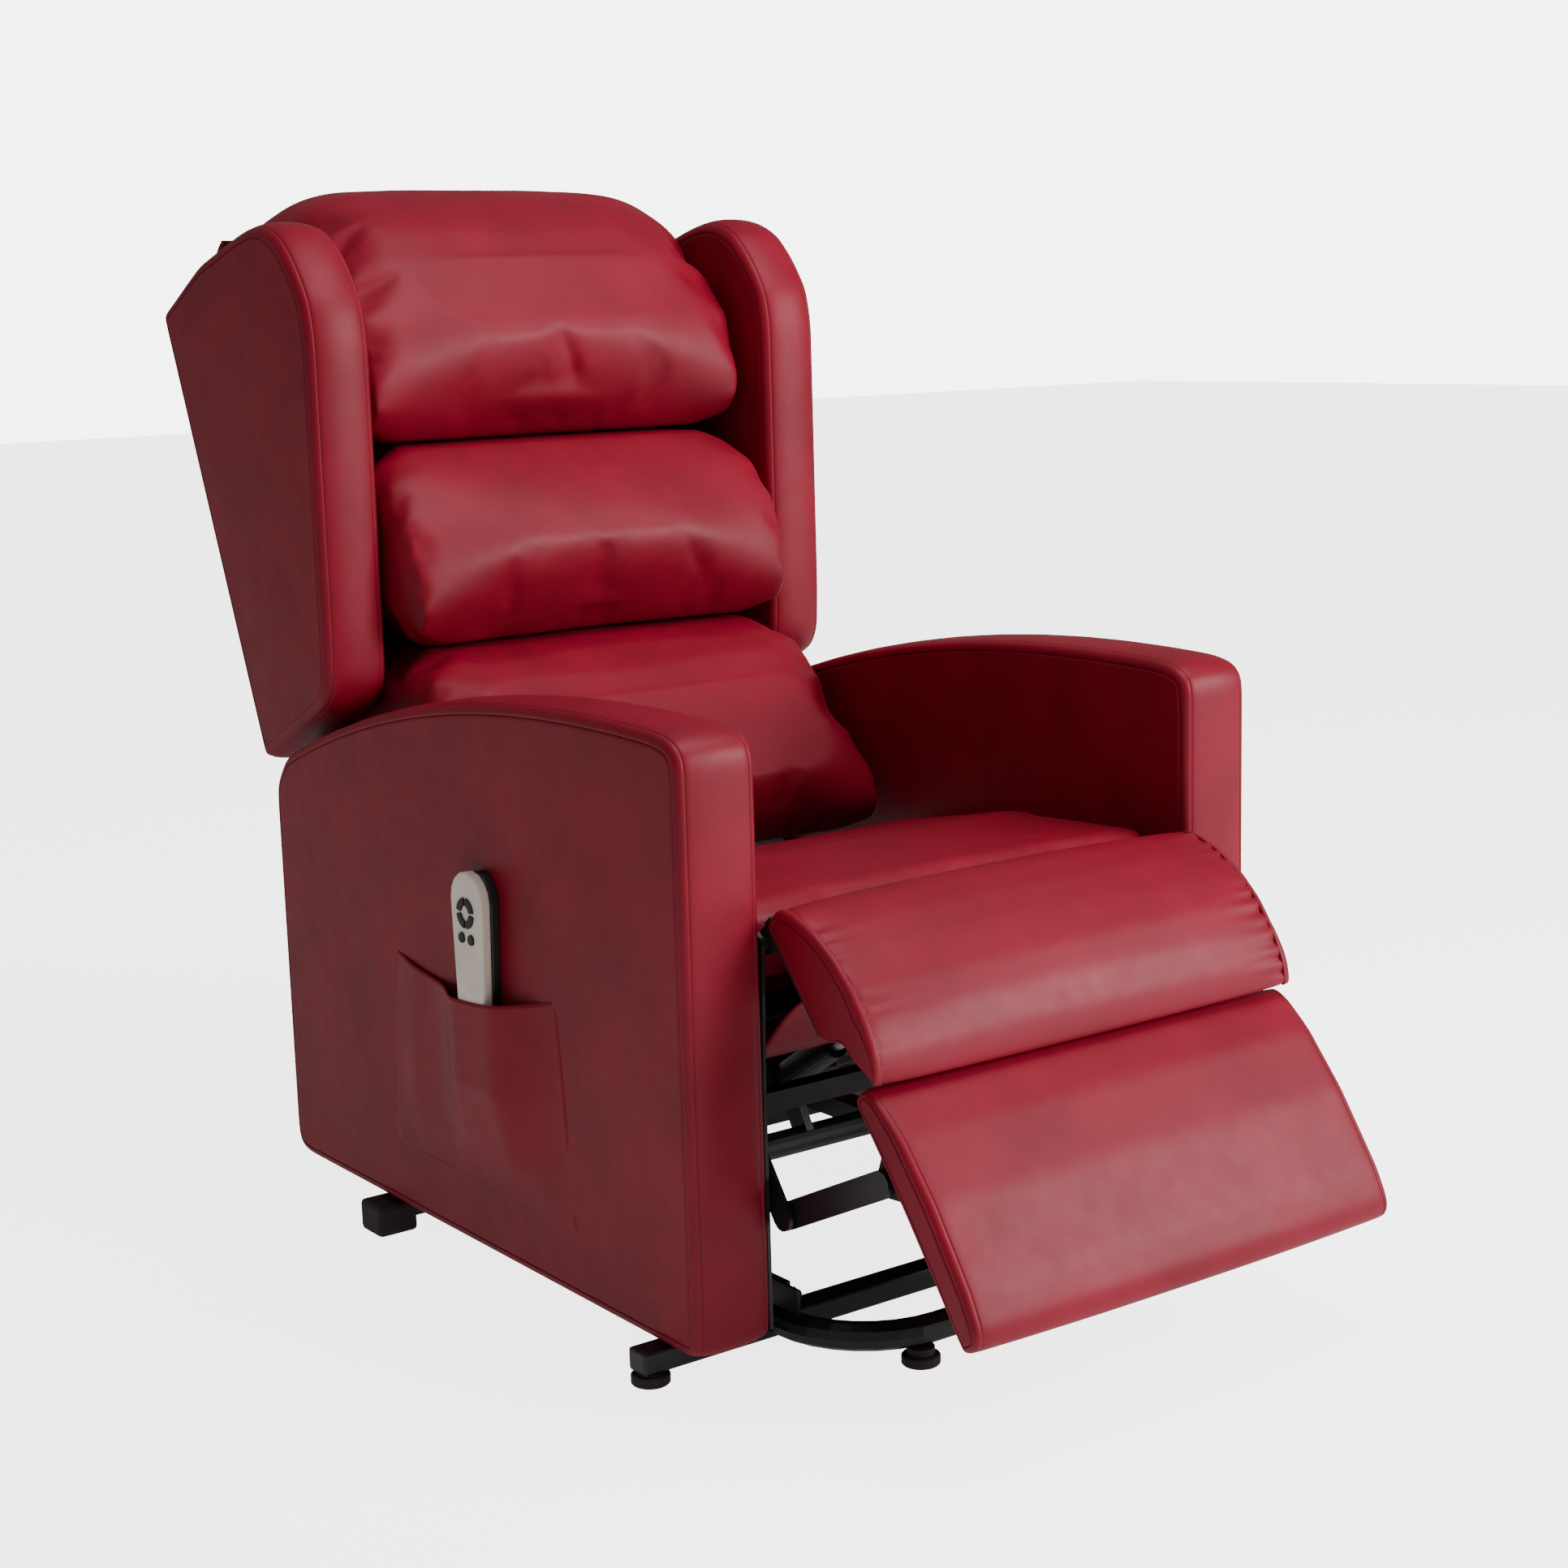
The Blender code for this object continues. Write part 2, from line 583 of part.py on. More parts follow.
# ---- Handset and its pocket -------------------------------------------------------------
HANDSET_FORWARD = 0.075
HANDSET_HALF = 0.032
HANDSET_BOTTOM = 0.285
HANDSET_TOP = 0.474
HANDSET_BACK = HALF_WIDTH + RUN
HANDSET_SPLIT = HANDSET_BACK + 0.012
HANDSET_FRONT = HANDSET_SPLIT + 0.012
POCKET_WALL = 0.002
POCKET_OUT = HANDSET_FRONT + RUN + POCKET_WALL
POCKET_FRONT_TOP = (0.208, 0.358)
POCKET_FRONT_BOTTOM = (0.232, 0.121)
POCKET_REAR_TOP = (-0.135, 0.352)
POCKET_REAR_BOTTOM = (-0.150, 0.121)
BUTTON_TRAVEL = 0.0010
BUTTON_STAND = 0.0020
RING_CENTRE = (HANDSET_FORWARD, 0.430)
RING_OUT = 0.0165
RING_IN = 0.0085
SMALL_BUTTON = 0.0055
SMALL_BUTTON_AT = (0.0095, 0.4025)


def handset_outline(inset=0.0):
    half = HANDSET_HALF - inset
    top = arc((HANDSET_FORWARD, HANDSET_TOP - HANDSET_HALF), half, 0, 180, 8)
    foot = 0.82 * half
    low = HANDSET_BOTTOM + inset
    return top + [(HANDSET_FORWARD - foot, low + 0.010), (HANDSET_FORWARD - foot + 0.010, low),
                  (HANDSET_FORWARD + foot - 0.010, low), (HANDSET_FORWARD + foot, low + 0.010)]


def button_outlines():
    """Names and outlines of the four arc buttons and the two round ones."""
    names = ("back_up", "back_down", "leg_down", "leg_up")
    made = []
    for index, name in enumerate(names):
        start = 8 + 90 * index
        end = start + 74
        outline = arc(RING_CENTRE, RING_OUT, start, end, 6)
        outline += arc(RING_CENTRE, RING_IN, end, start, 6)
        made.append(("button_" + name, outline))
    for name, side in (("lift_up", 1), ("lift_down", -1)):
        centre = (HANDSET_FORWARD + side * SMALL_BUTTON_AT[0], SMALL_BUTTON_AT[1])
        made.append(("button_" + name, arc(centre, SMALL_BUTTON, 0, 337.5, 15)))
    return made


def grown(outline, centre, clearance):
    """An outline pushed away from its centre by a clearance."""
    points = []
    for place in outline:
        away = Vector((place[0] - centre[0], place[1] - centre[1]))
        away.normalize()
        points.append((place[0] + clearance * away.x, place[1] + clearance * away.y))
    return points


def handset():
    prism("handset_back", handset_outline(0.001), -HANDSET_BACK, -HANDSET_SPLIT + GAP,
          BLACK_PLASTIC, rounding=0.003)
    front = prism("handset_front", handset_outline(), -HANDSET_SPLIT, -HANDSET_FRONT,
                  CREAM_PLASTIC, rounding=0.003)
    floor = HANDSET_FRONT - 0.004
    holes = []
    for name, outline in button_outlines():
        count = len(outline)
        centre = (sum(p[0] for p in outline) / count, sum(p[1] for p in outline) / count)
        hole = grown(outline, centre, 0.0005)
        holes.append(prism("hole", hole, -floor, -HANDSET_FRONT - 0.01))
        low = floor + GAP + BUTTON_TRAVEL
        prism(name, outline, -low, -HANDSET_FRONT - BUTTON_STAND, BLACK_PLASTIC)
    combine(front, holes, "DIFFERENCE")


def pocket():
    rear_low = POCKET_REAR_BOTTOM
    dip = [(-0.060, 0.334), (0.0, 0.3315), (0.100, 0.345)]
    outline = [rear_low, POCKET_FRONT_BOTTOM, POCKET_FRONT_TOP, *dip[::-1], POCKET_REAR_TOP]
    inner = -HALF_WIDTH - GAP
    bag = prism("handset_pocket", outline, inner, -POCKET_OUT, FAUX_LEATHER)
    wall = POCKET_WALL
    space = [(rear_low[0] + wall, rear_low[1] + wall),
             (POCKET_FRONT_BOTTOM[0] - wall, POCKET_FRONT_BOTTOM[1] + wall),
             (POCKET_FRONT_TOP[0] - wall, POCKET_FRONT_TOP[1] + 0.05),
             (POCKET_REAR_TOP[0] + wall, POCKET_REAR_TOP[1] + 0.05)]
    hollow = prism("hollow", space, inner + 0.01, -POCKET_OUT + wall)
    combine(bag, [hollow], "DIFFERENCE")


# ---- Reclining back ---------------------------------------------------------------------
SHELL = 0.012
STILE_DEPTH = 0.040
BACK_SLOPE = 0.403            # how far the rear face leans back for each metre of height
REAR_FACE_AT = -0.488         # forward position of the rear face at REAR_FACE_Z
REAR_FACE_Z = 0.508
BACK_LOW = 0.400
STILE_TOP = 1.085
BACK_HIGH = 1.105


def rear_face(height, inset=0.0):
    """Forward position of the back's rear face, or of a plane inset from it."""
    return REAR_FACE_AT - BACK_SLOPE * (height - REAR_FACE_Z) + inset


def back_strip(near, far, low, high):
    """A sloping strip parallel to the rear face, between two insets and two heights."""
    return [(rear_face(low, near), low), (rear_face(low, far), low),
            (rear_face(high, far), high), (rear_face(high, near), high)]


def back():
    shell_half = WING_INNER - GAP
    prism("back_shell", back_strip(0.0, SHELL, BACK_LOW, BACK_HIGH), -shell_half, shell_half,
          FAUX_LEATHER, rounding=0.003)

    stile_near = SHELL + RUN
    stile_far = stile_near + STILE_DEPTH
    stile = prism("back_stile", back_strip(stile_near, stile_far, 0.370, STILE_TOP),
                  LAYER_1_OUT - 0.022, LAYER_1_OUT - 0.001, WOOD)
    hinge = [(rear_face(0.390, stile_far + 0.003), 0.390),
             (rear_face(0.500, stile_far + 0.003), 0.500),
             (rear_face(0.500, stile_near + 0.006), 0.500),
             (rear_face(0.375, stile_near + 0.006), 0.375)]
    hinge += arc(BACK_PIVOT, 0.020, 250, 430, 8)
    plate = prism("plate", hinge, LAYER_1_IN, LAYER_1_OUT)
    boss = pin(BACK_PIVOT, LAYER_1_OUT - 0.002, SIDE_PLATE_IN - 0.0006, 0.012)
    head = pin(BACK_PIVOT, LAYER_1_IN - 0.006, LAYER_1_IN + 0.002, 0.010, 6)
    pair(combine(stile, [plate, boss, head]), "back_stile")

    rail_half = LAYER_1_OUT - 0.022 - GAP
    top_strip = back_strip(stile_near, stile_far, STILE_TOP - 0.055, STILE_TOP - 0.010)
    prism("back_top_rail", top_strip, -rail_half, rail_half, WOOD)
    low_rail = prism("back_lower_rail", back_strip(stile_near, stile_far, 0.405, 0.450),
                     -rail_half, rail_half, BLACK_STEEL)
    crank_pin = polar(BACK_PIVOT, BACK_CRANK, BACK_CRANK_ANGLE)
    knee = (rear_face(0.425, stile_far - 0.02), 0.425)
    bend = (-0.335, 0.330)
    upper = prism("upper", bar_outline(knee, bend, 0.015), BACK_MOTOR_ACROSS - CRANK_HALF,
                  BACK_MOTOR_ACROSS + CRANK_HALF)
    lower = prism("lower", bar_outline(bend, crank_pin, 0.015), BACK_MOTOR_ACROSS - CRANK_HALF,
                  BACK_MOTOR_ACROSS + CRANK_HALF)
    combine(low_rail, [upper, lower])

    wing_out = WING_INNER + WING_THICKNESS
    # The lower edge follows the armrest's arch, so its heights are measured from that.
    lower = [(-0.488, -0.1327), (-0.420, -0.0977), (-0.350, -0.0647), (-0.312, -0.0467),
             (-0.297, -0.0207), (-0.294, 0.0373)]
    outline = [(forward, ARM_HEIGHT + above) for forward, above in lower]
    outline += [(-0.294, 1.020), (-0.303, 1.066), (-0.330, 1.105), (-0.362, 1.137),
                (-0.395, 1.153), (-0.430, 1.157), (-0.470, 1.150), (-0.590, 1.116),
                (-0.709, 1.056)]
    wing = prism("wing", outline, WING_INNER, wing_out, FAUX_LEATHER, rounding=0.012)
    pair(wing, "wing")

    rear = stile_far + SOFT_GAP
    head_shape = [(rear_face(0.900, rear), 0.900), (-0.430, 0.893), (-0.352, 0.897),
                  (-0.322, 0.925), (-0.320, 0.965), (-0.345, 1.040), (-0.390, 1.110),
                  (-0.450, 1.168), (-0.520, 1.198), (-0.585, 1.204), (-0.650, 1.188),
                  (rear_face(1.140, rear), 1.140)]
    middle_shape = [(rear_face(0.664, rear), 0.664), (-0.360, 0.660), (-0.285, 0.660),
                    (-0.243, 0.672), (-0.228, 0.705), (-0.236, 0.755), (-0.264, 0.820),
                    (-0.305, 0.868), (-0.350, 0.890), (rear_face(0.896, rear), 0.896)]
    lumbar_shape = [(rear_face(0.424, rear), 0.424), (-0.300, 0.414), (-0.120, 0.402),
                    (-0.062, 0.410), (-0.044, 0.440), (-0.060, 0.480), (-0.105, 0.535),
                    (-0.165, 0.595), (-0.222, 0.638), (-0.285, 0.655),
                    (rear_face(0.660, rear), 0.660)]
    for name, shape in (("head_cushion", head_shape), ("middle_cushion", middle_shape),
                        ("lumbar_cushion", lumbar_shape)):
        prism(name, shape, -BACK_CUSHION_HALF, BACK_CUSHION_HALF, FAUX_LEATHER, rounding=0.010)


# ---- Leg rest ---------------------------------------------------------------------------
BOARD = 0.012
SWING_END = polar(LEG_PIVOT, LEG_SWING_LENGTH, LEG_SWING_ANGLE)
REACH_END = polar(SWING_END, LEG_REACH_LENGTH, LEG_REACH_ANGLE)
PAD_OVERRUN = 0.01295         # of the upper pad's tip past the top of the lower board


def pad_reach(top):
    """How far the upper pad runs from its pivot to meet the lower pad, whose board starts at top."""
    slope = math.radians(THIGH_ANGLE)
    forward = top[0] - THIGH_PIVOT[0]
    height = top[1] - THIGH_PIVOT[1]
    return forward * math.cos(slope) - height * math.sin(slope) + PAD_OVERRUN


def link(stem, first, second, layer_in, layer_out, boss_at, boss_reach):
    """A flat folding link, with a boss out to its neighbour and a hexagon head inside."""
    bar = prism(stem, bar_outline(first, second, LINK_HALF_WIDTH), layer_in, layer_out,
                BLACK_STEEL)
    boss = pin(boss_at, layer_out - 0.002, boss_reach, 0.010)
    head = pin(boss_at, layer_in - 0.0024, layer_in + 0.002, 0.0075, 6)
    pair(combine(bar, [boss, head]), stem)


def leg_rest():
    link("leg_swing_link", LEG_PIVOT, SWING_END, LAYER_1_IN, LAYER_1_OUT, LEG_PIVOT,
         SIDE_PLATE_IN - 0.0006)
    link("leg_reach_link", SWING_END, REACH_END, LAYER_2_IN, LAYER_2_OUT, SWING_END,
         LAYER_1_IN - 0.0006)

    # The lower board starts at this point of its back face, uphill of the bracket's pivot.
    top = along(REACH_END, LEG_ANGLE, [(-LEG_BRACKET_ALONG, LEG_BRACKET_BEHIND)])[0]
    board_half = PAD_HALF - 0.006
    board = prism("leg_board", along(top, LEG_ANGLE, [(0.012, 0.0), (LEG_LENGTH - 0.012, 0.0),
                                                      (LEG_LENGTH - 0.012, BOARD),
                                                      (0.012, BOARD)]),
                  -board_half, board_half, BLACK_STEEL)
    brackets = []
    for side in (-1, 1):
        ends = sorted((side * LAYER_3_IN, side * LAYER_3_OUT))
        foot = along(top, LEG_ANGLE, [(LEG_BRACKET_ALONG - 0.035, 0.004),
                                      (LEG_BRACKET_ALONG + 0.035, 0.004)])
        nose = arc(REACH_END, LINK_HALF_WIDTH, 180 - LEG_ANGLE + 40, 360 - LEG_ANGLE - 40, 6)
        brackets.append(prism("bracket", [*foot[::-1], *nose], *ends))
        brackets.append(pin(REACH_END, side * (LAYER_3_OUT - 0.002),
                            side * (LAYER_2_IN - 0.0006), 0.010))
    combine(board, brackets)
    profile = [(0.0, BOARD + GAP), (0.0, 0.022), (0.020, 0.033), (0.060, 0.043),
               (0.130, 0.047), (0.215, 0.042), (0.252, 0.034), (LEG_LENGTH, 0.022),
               (LEG_LENGTH, BOARD + GAP)]
    prism("leg_pad", along(top, LEG_ANGLE, profile), -PAD_HALF, PAD_HALF, FAUX_LEATHER,
          rounding=0.005)

    # The upper board hangs from its pivots at the seat's front corners.
    lift = 0.016
    reach = pad_reach(top)
    board_end = reach - 0.083
    upper = prism("thigh_board", along(THIGH_PIVOT, THIGH_ANGLE,
                                       [(-0.014, lift), (board_end, lift),
                                        (board_end, lift + BOARD), (-0.014, lift + BOARD)]),
                  -board_half, board_half, BLACK_STEEL)
    pieces = []
    for side in (-1, 1):
        inner = board_half - LINK_THICK
        ends = sorted((side * inner, side * board_half))
        lug = arc(THIGH_PIVOT, 0.012, 180 - THIGH_ANGLE + 20, 360 - THIGH_ANGLE - 20, 6)
        root = along(THIGH_PIVOT, THIGH_ANGLE, [(0.020, lift + 0.004), (-0.012, lift + 0.004)])
        pieces.append(prism("lug", [*lug, *root], *ends))
        pieces.append(pin(THIGH_PIVOT, side * (board_half - 0.002),
                          side * (SIDE_PLATE_IN - 0.0006), 0.008))
    crank_pin = polar(THIGH_PIVOT, THIGH_CRANK, THIGH_CRANK_ANGLE)
    root = along(THIGH_PIVOT, THIGH_ANGLE, [(0.045, lift - 0.004)])[0]
    near = LEG_MOTOR_ACROSS - CRANK_HALF
    far = LEG_MOTOR_ACROSS + CRANK_HALF
    pieces.append(prism("crank", bar_outline(root, crank_pin, 0.013), near, far))
    combine(upper, pieces)
    top_face = lift + BOARD + GAP
    profile = [(-0.018, top_face), (-0.018, 0.050), (0.0, 0.068), (0.030, 0.085),
               (0.065, 0.096), (0.100, 0.100), (reach - 0.060, 0.097),
               (reach - 0.030, 0.088), (reach - 0.007, 0.074), (reach, 0.064),
               (reach - 0.045, 0.056), (reach - 0.081, top_face)]
    prism("thigh_pad", along(THIGH_PIVOT, THIGH_ANGLE, profile), -PAD_HALF, PAD_HALF,
          FAUX_LEATHER, rounding=0.005)


# ---- Assembly ---------------------------------------------------------------------------
base_frame()
lift_linkage()
actuator("lift", LIFT_MOTOR_PIVOT, polar(LIFT_REAR_BASE, LIFT_CRANK, LIFT_CRANK_ANGLE),
         0.0, sleeve_end=0.200, rod_start=0.112)
seat_carriage()
armrests()
pocket()
handset()
back()
actuator("back", BACK_MOTOR_PIVOT, polar(BACK_PIVOT, BACK_CRANK, BACK_CRANK_ANGLE),
         BACK_MOTOR_ACROSS, sleeve_end=0.258, rod_start=0.170)
leg_rest()
actuator("leg", LEG_MOTOR_PIVOT, polar(THIGH_PIVOT, THIGH_CRANK, THIGH_CRANK_ANGLE),
         LEG_MOTOR_ACROSS, sleeve_end=0.196, rod_start=0.145, motor_side=1)
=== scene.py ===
# %% [markdown]
# # Dressing a lift recliner chair
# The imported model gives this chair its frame, links, motors and plain foam blocks. Here the
# blocks are upholstered, the seams are stitched, and each surface gets its own finish.
# The chair faces -Y, +X is on the right of someone looking at its front, and +Z is up.
# Side profiles are written as (forward, height), with forward = -y. Lengths are in metres.

# %% Load the frame
import math

import bmesh
import bpy
from mathutils import Euler, Matrix, Vector, noise
from mathutils.bvhtree import BVHTree
from mathutils.geometry import delaunay_2d_cdt


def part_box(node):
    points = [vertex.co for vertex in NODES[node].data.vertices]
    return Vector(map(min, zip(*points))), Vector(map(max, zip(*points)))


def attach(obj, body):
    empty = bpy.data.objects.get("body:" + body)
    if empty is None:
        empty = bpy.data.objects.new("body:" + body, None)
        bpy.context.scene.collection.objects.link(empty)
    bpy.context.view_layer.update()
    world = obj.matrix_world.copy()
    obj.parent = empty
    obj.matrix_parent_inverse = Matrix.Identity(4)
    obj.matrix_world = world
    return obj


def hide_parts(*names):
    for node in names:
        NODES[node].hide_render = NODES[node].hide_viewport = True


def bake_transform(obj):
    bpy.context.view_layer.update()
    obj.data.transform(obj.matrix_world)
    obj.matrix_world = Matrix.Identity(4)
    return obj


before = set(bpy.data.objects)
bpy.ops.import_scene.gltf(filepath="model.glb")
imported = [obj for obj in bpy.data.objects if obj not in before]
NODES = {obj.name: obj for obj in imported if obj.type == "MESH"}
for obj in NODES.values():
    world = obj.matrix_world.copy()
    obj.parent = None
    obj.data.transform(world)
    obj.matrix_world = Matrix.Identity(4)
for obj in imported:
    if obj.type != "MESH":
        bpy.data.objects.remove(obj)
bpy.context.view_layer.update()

MM = 0.001

# %% [markdown]
# ## Small tools
# Every new piece is a plain mesh object at the origin, with its place in its vertices, because
# that is how the frame's own pieces are kept. A short function makes one from points and faces.


# %% A piece from points and faces
def piece(name, points, faces, finish, smooth_angle=60):
    mesh = bpy.data.meshes.new(name)
    mesh.from_pydata([tuple(p) for p in points], [], faces)
    work = bmesh.new()
    work.from_mesh(mesh)
    bmesh.ops.remove_doubles(work, verts=work.verts, dist=0.02 * MM)
    bmesh.ops.recalc_face_normals(work, faces=work.faces)
    work.to_mesh(mesh)
    work.free()
    mesh.materials.append(finish)
    mesh.shade_smooth()
    mesh.set_sharp_from_angle(angle=math.radians(smooth_angle))
    made = bpy.data.objects.new(name, mesh)
    bpy.context.scene.collection.objects.link(made)
    return made


def frame_copy(node):
    """A merged copy of a frame piece's mesh, as a bmesh. The frame's own mesh stays as it is."""
    work = bmesh.new()
    work.from_mesh(NODES[node].data)
    bmesh.ops.remove_doubles(work, verts=work.verts, dist=0.01 * MM)
    return work


def plain_mesh(thing):
    """What an object's modifiers make of it, as a plain mesh; the modifiers are removed."""
    bpy.context.view_layer.update()
    seen = thing.evaluated_get(bpy.context.evaluated_depsgraph_get())
    mesh = bpy.data.meshes.new_from_object(seen)
    thing.modifiers.clear()
    thing.data = mesh
    return thing


print("tools ready")

# %% [markdown]
# ## Finishes
# Each finish starts from what the real one is: how it was made, and what that gives the eye.
# One function adds a node with its settings and links. Colours are hex values as a paint chart
# gives them, turned to linear light by one function.


# %% Node and colour helpers
def hex_colour(code):
    channels = [int(code[i:i + 2], 16) / 255 for i in (1, 3, 5)]
    linear = [c / 12.92 if c <= 0.04045 else ((c + 0.055) / 1.055) ** 2.4 for c in channels]
    return (*linear, 1.0)


def node(tree, kind, values=None, links=None, **settings):
    """Adds a node. settings are its properties, values its sockets, links what feeds them."""
    made = tree.nodes.new(kind)
    for key, value in settings.items():
        setattr(made, key, value)
    for key, value in (values or {}).items():
        made.inputs[key].default_value = value
    for key, source in (links or {}).items():
        tree.links.new(source, made.inputs[key])
    return made


def ramp(tree, factor, stops):
    """A colour ramp with two stops, each a (position, colour)."""
    made = node(tree, "ShaderNodeValToRGB", links={"Fac": factor})
    for element, (position, colour) in zip(made.color_ramp.elements, stops):
        element.position = position
        element.color = colour
    return made.outputs["Color"]


def finish_material(name, roughness, metallic=0.0):
    """A new material: returns it, its tree, its principled shader and the Object coordinates."""
    made = bpy.data.materials.new(name)
    made.use_nodes = True
    tree = made.node_tree
    shader = tree.nodes["Principled BSDF"]
    shader.inputs["Roughness"].default_value = roughness
    shader.inputs["Metallic"].default_value = metallic
    place = node(tree, "ShaderNodeTexCoord").outputs["Object"]
    return made, tree, shader, place


def grey(value):
    return (value, value, value, 1.0)


print("finish helpers ready")

# %% [markdown]
# ### Faux leather
# A knitted backing is coated with polyurethane, and a roller embosses the grain while it is
# soft. The eye sees a fine pebble of about 1.2 mm that only shows close up, a satin skin that
# is a little glossier on the pebbles than between them, slow waves where it is pulled over
# foam, and a colour that is slightly uneven over a hand's breadth. Between the pebbles the
# colour is darkened, which is painted shade in the creases of the grain.

# %% Make the faux leather
GRAIN = 1.3 * MM
HAND_BREADTH = 90 * MM


def faux_leather(name, base, deep):
    made, tree, shader, place = finish_material(name, 0.46)
    shader.inputs["Specular IOR Level"].default_value = 0.26
    cloud = node(tree, "ShaderNodeTexNoise", {"Scale": 1 / HAND_BREADTH, "Detail": 3.0},
                 {"Vector": place})
    colour = ramp(tree, cloud.outputs["Fac"], [(0.30, hex_colour(deep)), (0.72, hex_colour(base))])
    pebble = node(tree, "ShaderNodeTexVoronoi", {"Scale": 1 / GRAIN, "Randomness": 0.9},
                  {"Vector": place}, feature="SMOOTH_F1")
    # Darker towards each pebble's edge: painted shade in the grain's creases, multiplied into the
    # leather's uneven tone.
    crease = ramp(tree, pebble.outputs["Distance"], [(0.30, grey(1.0)), (0.75, grey(0.86))])
    tone_and_crease_shade = node(tree, "ShaderNodeMix", {"Factor": 1.0}, data_type="RGBA", blend_type="MULTIPLY")
    tree.links.new(colour, tone_and_crease_shade.inputs["A"])
    tree.links.new(crease, tone_and_crease_shade.inputs["B"])
    tree.links.new(tone_and_crease_shade.outputs["Result"], shader.inputs["Base Color"])
    sheen = node(tree, "ShaderNodeTexNoise", {"Scale": 1 / (25 * MM), "Detail": 4.0},
                 {"Vector": place})
    rough = node(tree, "ShaderNodeMapRange", {"To Min": 0.42, "To Max": 0.54},
                 {"Value": sheen.outputs["Fac"]})
    tree.links.new(rough.outputs["Result"], shader.inputs["Roughness"])
    slow = node(tree, "ShaderNodeTexNoise", {"Scale": 1 / (55 * MM), "Detail": 2.0},
                {"Vector": place})
    waves = node(tree, "ShaderNodeBump", {"Strength": 0.22, "Distance": 3.0 * MM},
                 {"Height": slow.outputs["Fac"]})
    grain = node(tree, "ShaderNodeBump", {"Strength": 0.30, "Distance": 0.10 * MM},
                 {"Height": pebble.outputs["Distance"], "Normal": waves.outputs["Normal"]},
                 invert=True)
    tree.links.new(grain.outputs["Normal"], shader.inputs["Normal"])
    return made


BURGUNDY = faux_leather("burgundy_polyurethane_leather", "#8a0726", "#79051e")
print("made", BURGUNDY.name)

# %% [markdown]
# ### Thread, plastics, rubber, boards and metals
# The thread is bonded polyester, a shade darker than the leather. The frame is powder coated:
# fine orange peel, semi-gloss. Links are the same coat over sheared plate. The actuator rods
# are zinc plated. The handset is moulded ABS with a light spark-eroded texture, its buttons
# silicone rubber. Feet are brown-black rubber, and the boards are stained black. The same
# black on the seat platform and the back stiles is painted shade, for the dark under the
# thigh pad and in the gap between arm and lumbar cushion.


# %% Make the other finishes
def moulded(name, code, roughness, texture, depth, specular=0.5):
    """Plastic, rubber or paint: one colour, with a fine surface from its mould or its spray."""
    made, tree, shader, place = finish_material(name, roughness)
    shader.inputs["Specular IOR Level"].default_value = specular
    cloud = node(tree, "ShaderNodeTexNoise", {"Scale": 1 / (40 * MM), "Detail": 3.0},
                 {"Vector": place})
    base = hex_colour(code)
    darker = (base[0] * 0.82, base[1] * 0.82, base[2] * 0.82, 1.0)
    colour = ramp(tree, cloud.outputs["Fac"], [(0.3, darker), (0.7, base)])
    tree.links.new(colour, shader.inputs["Base Color"])
    wear = node(tree, "ShaderNodeMapRange", {"To Min": roughness * 0.85, "To Max": roughness * 1.2},
                {"Value": cloud.outputs["Fac"]})
    tree.links.new(wear.outputs["Result"], shader.inputs["Roughness"])
    fine = node(tree, "ShaderNodeTexNoise", {"Scale": 1 / texture, "Detail": 2.0},
                {"Vector": place})
    skin = node(tree, "ShaderNodeBump", {"Strength": 0.35, "Distance": depth},
                {"Height": fine.outputs["Fac"]})
    tree.links.new(skin.outputs["Normal"], shader.inputs["Normal"])
    return made


def plated_zinc():
    made, tree, shader, place = finish_material("zinc_plated_steel", 0.32, metallic=1.0)
    spangle = node(tree, "ShaderNodeTexNoise", {"Scale": 1 / (6 * MM), "Detail": 4.0},
                   {"Vector": place})
    colour = ramp(tree, spangle.outputs["Fac"], [(0.35, hex_colour("#8f9296")),
                                                 (0.70, hex_colour("#c3c5c6"))])
    tree.links.new(colour, shader.inputs["Base Color"])
    rough = node(tree, "ShaderNodeMapRange", {"To Min": 0.24, "To Max": 0.42},
                 {"Value": spangle.outputs["Fac"]})
    tree.links.new(rough.outputs["Result"], shader.inputs["Roughness"])
    return made


THREAD = moulded("bonded_polyester_thread", "#5e0d1a", 0.60, 0.6 * MM, 0.10 * MM)
POWDER_COAT = moulded("black_powder_coat", "#17171a", 0.36, 1.2 * MM, 0.05 * MM)
# The black board finish is the boards' own stain. On the seat platform and the back stiles it is
# painted shade.
STAINED_BOARD_AND_PAINTED_SHADE = moulded("black_board_stain_and_painted_shade", "#1c191a", 0.62, 0.8 * MM, 0.10 * MM)
BLACK_ABS = moulded("black_abs", "#1b1b1d", 0.46, 0.5 * MM, 0.04 * MM)
CREAM_ABS = moulded("cream_abs", "#ece0d2", 0.36, 0.5 * MM, 0.02 * MM)
SILICONE = moulded("black_silicone", "#141416", 0.55, 0.5 * MM, 0.02 * MM)
RUBBER = moulded("brown_black_rubber", "#2b1d1e", 0.70, 0.9 * MM, 0.10 * MM)
ZINC = plated_zinc()
print("finishes:", len(bpy.data.materials))

# %% [markdown]
# ## Finish the frame's own pieces
# Steel, wood, plastic and rubber pieces already have their true shape, so they stay and only
# change material. The rule reads the piece's name. The back's top rail is wrapped in leather.
# The seat platform and the back stiles are black as painted shade, for the dark under the
# thigh pad and in the gap between arm and lumbar cushion.

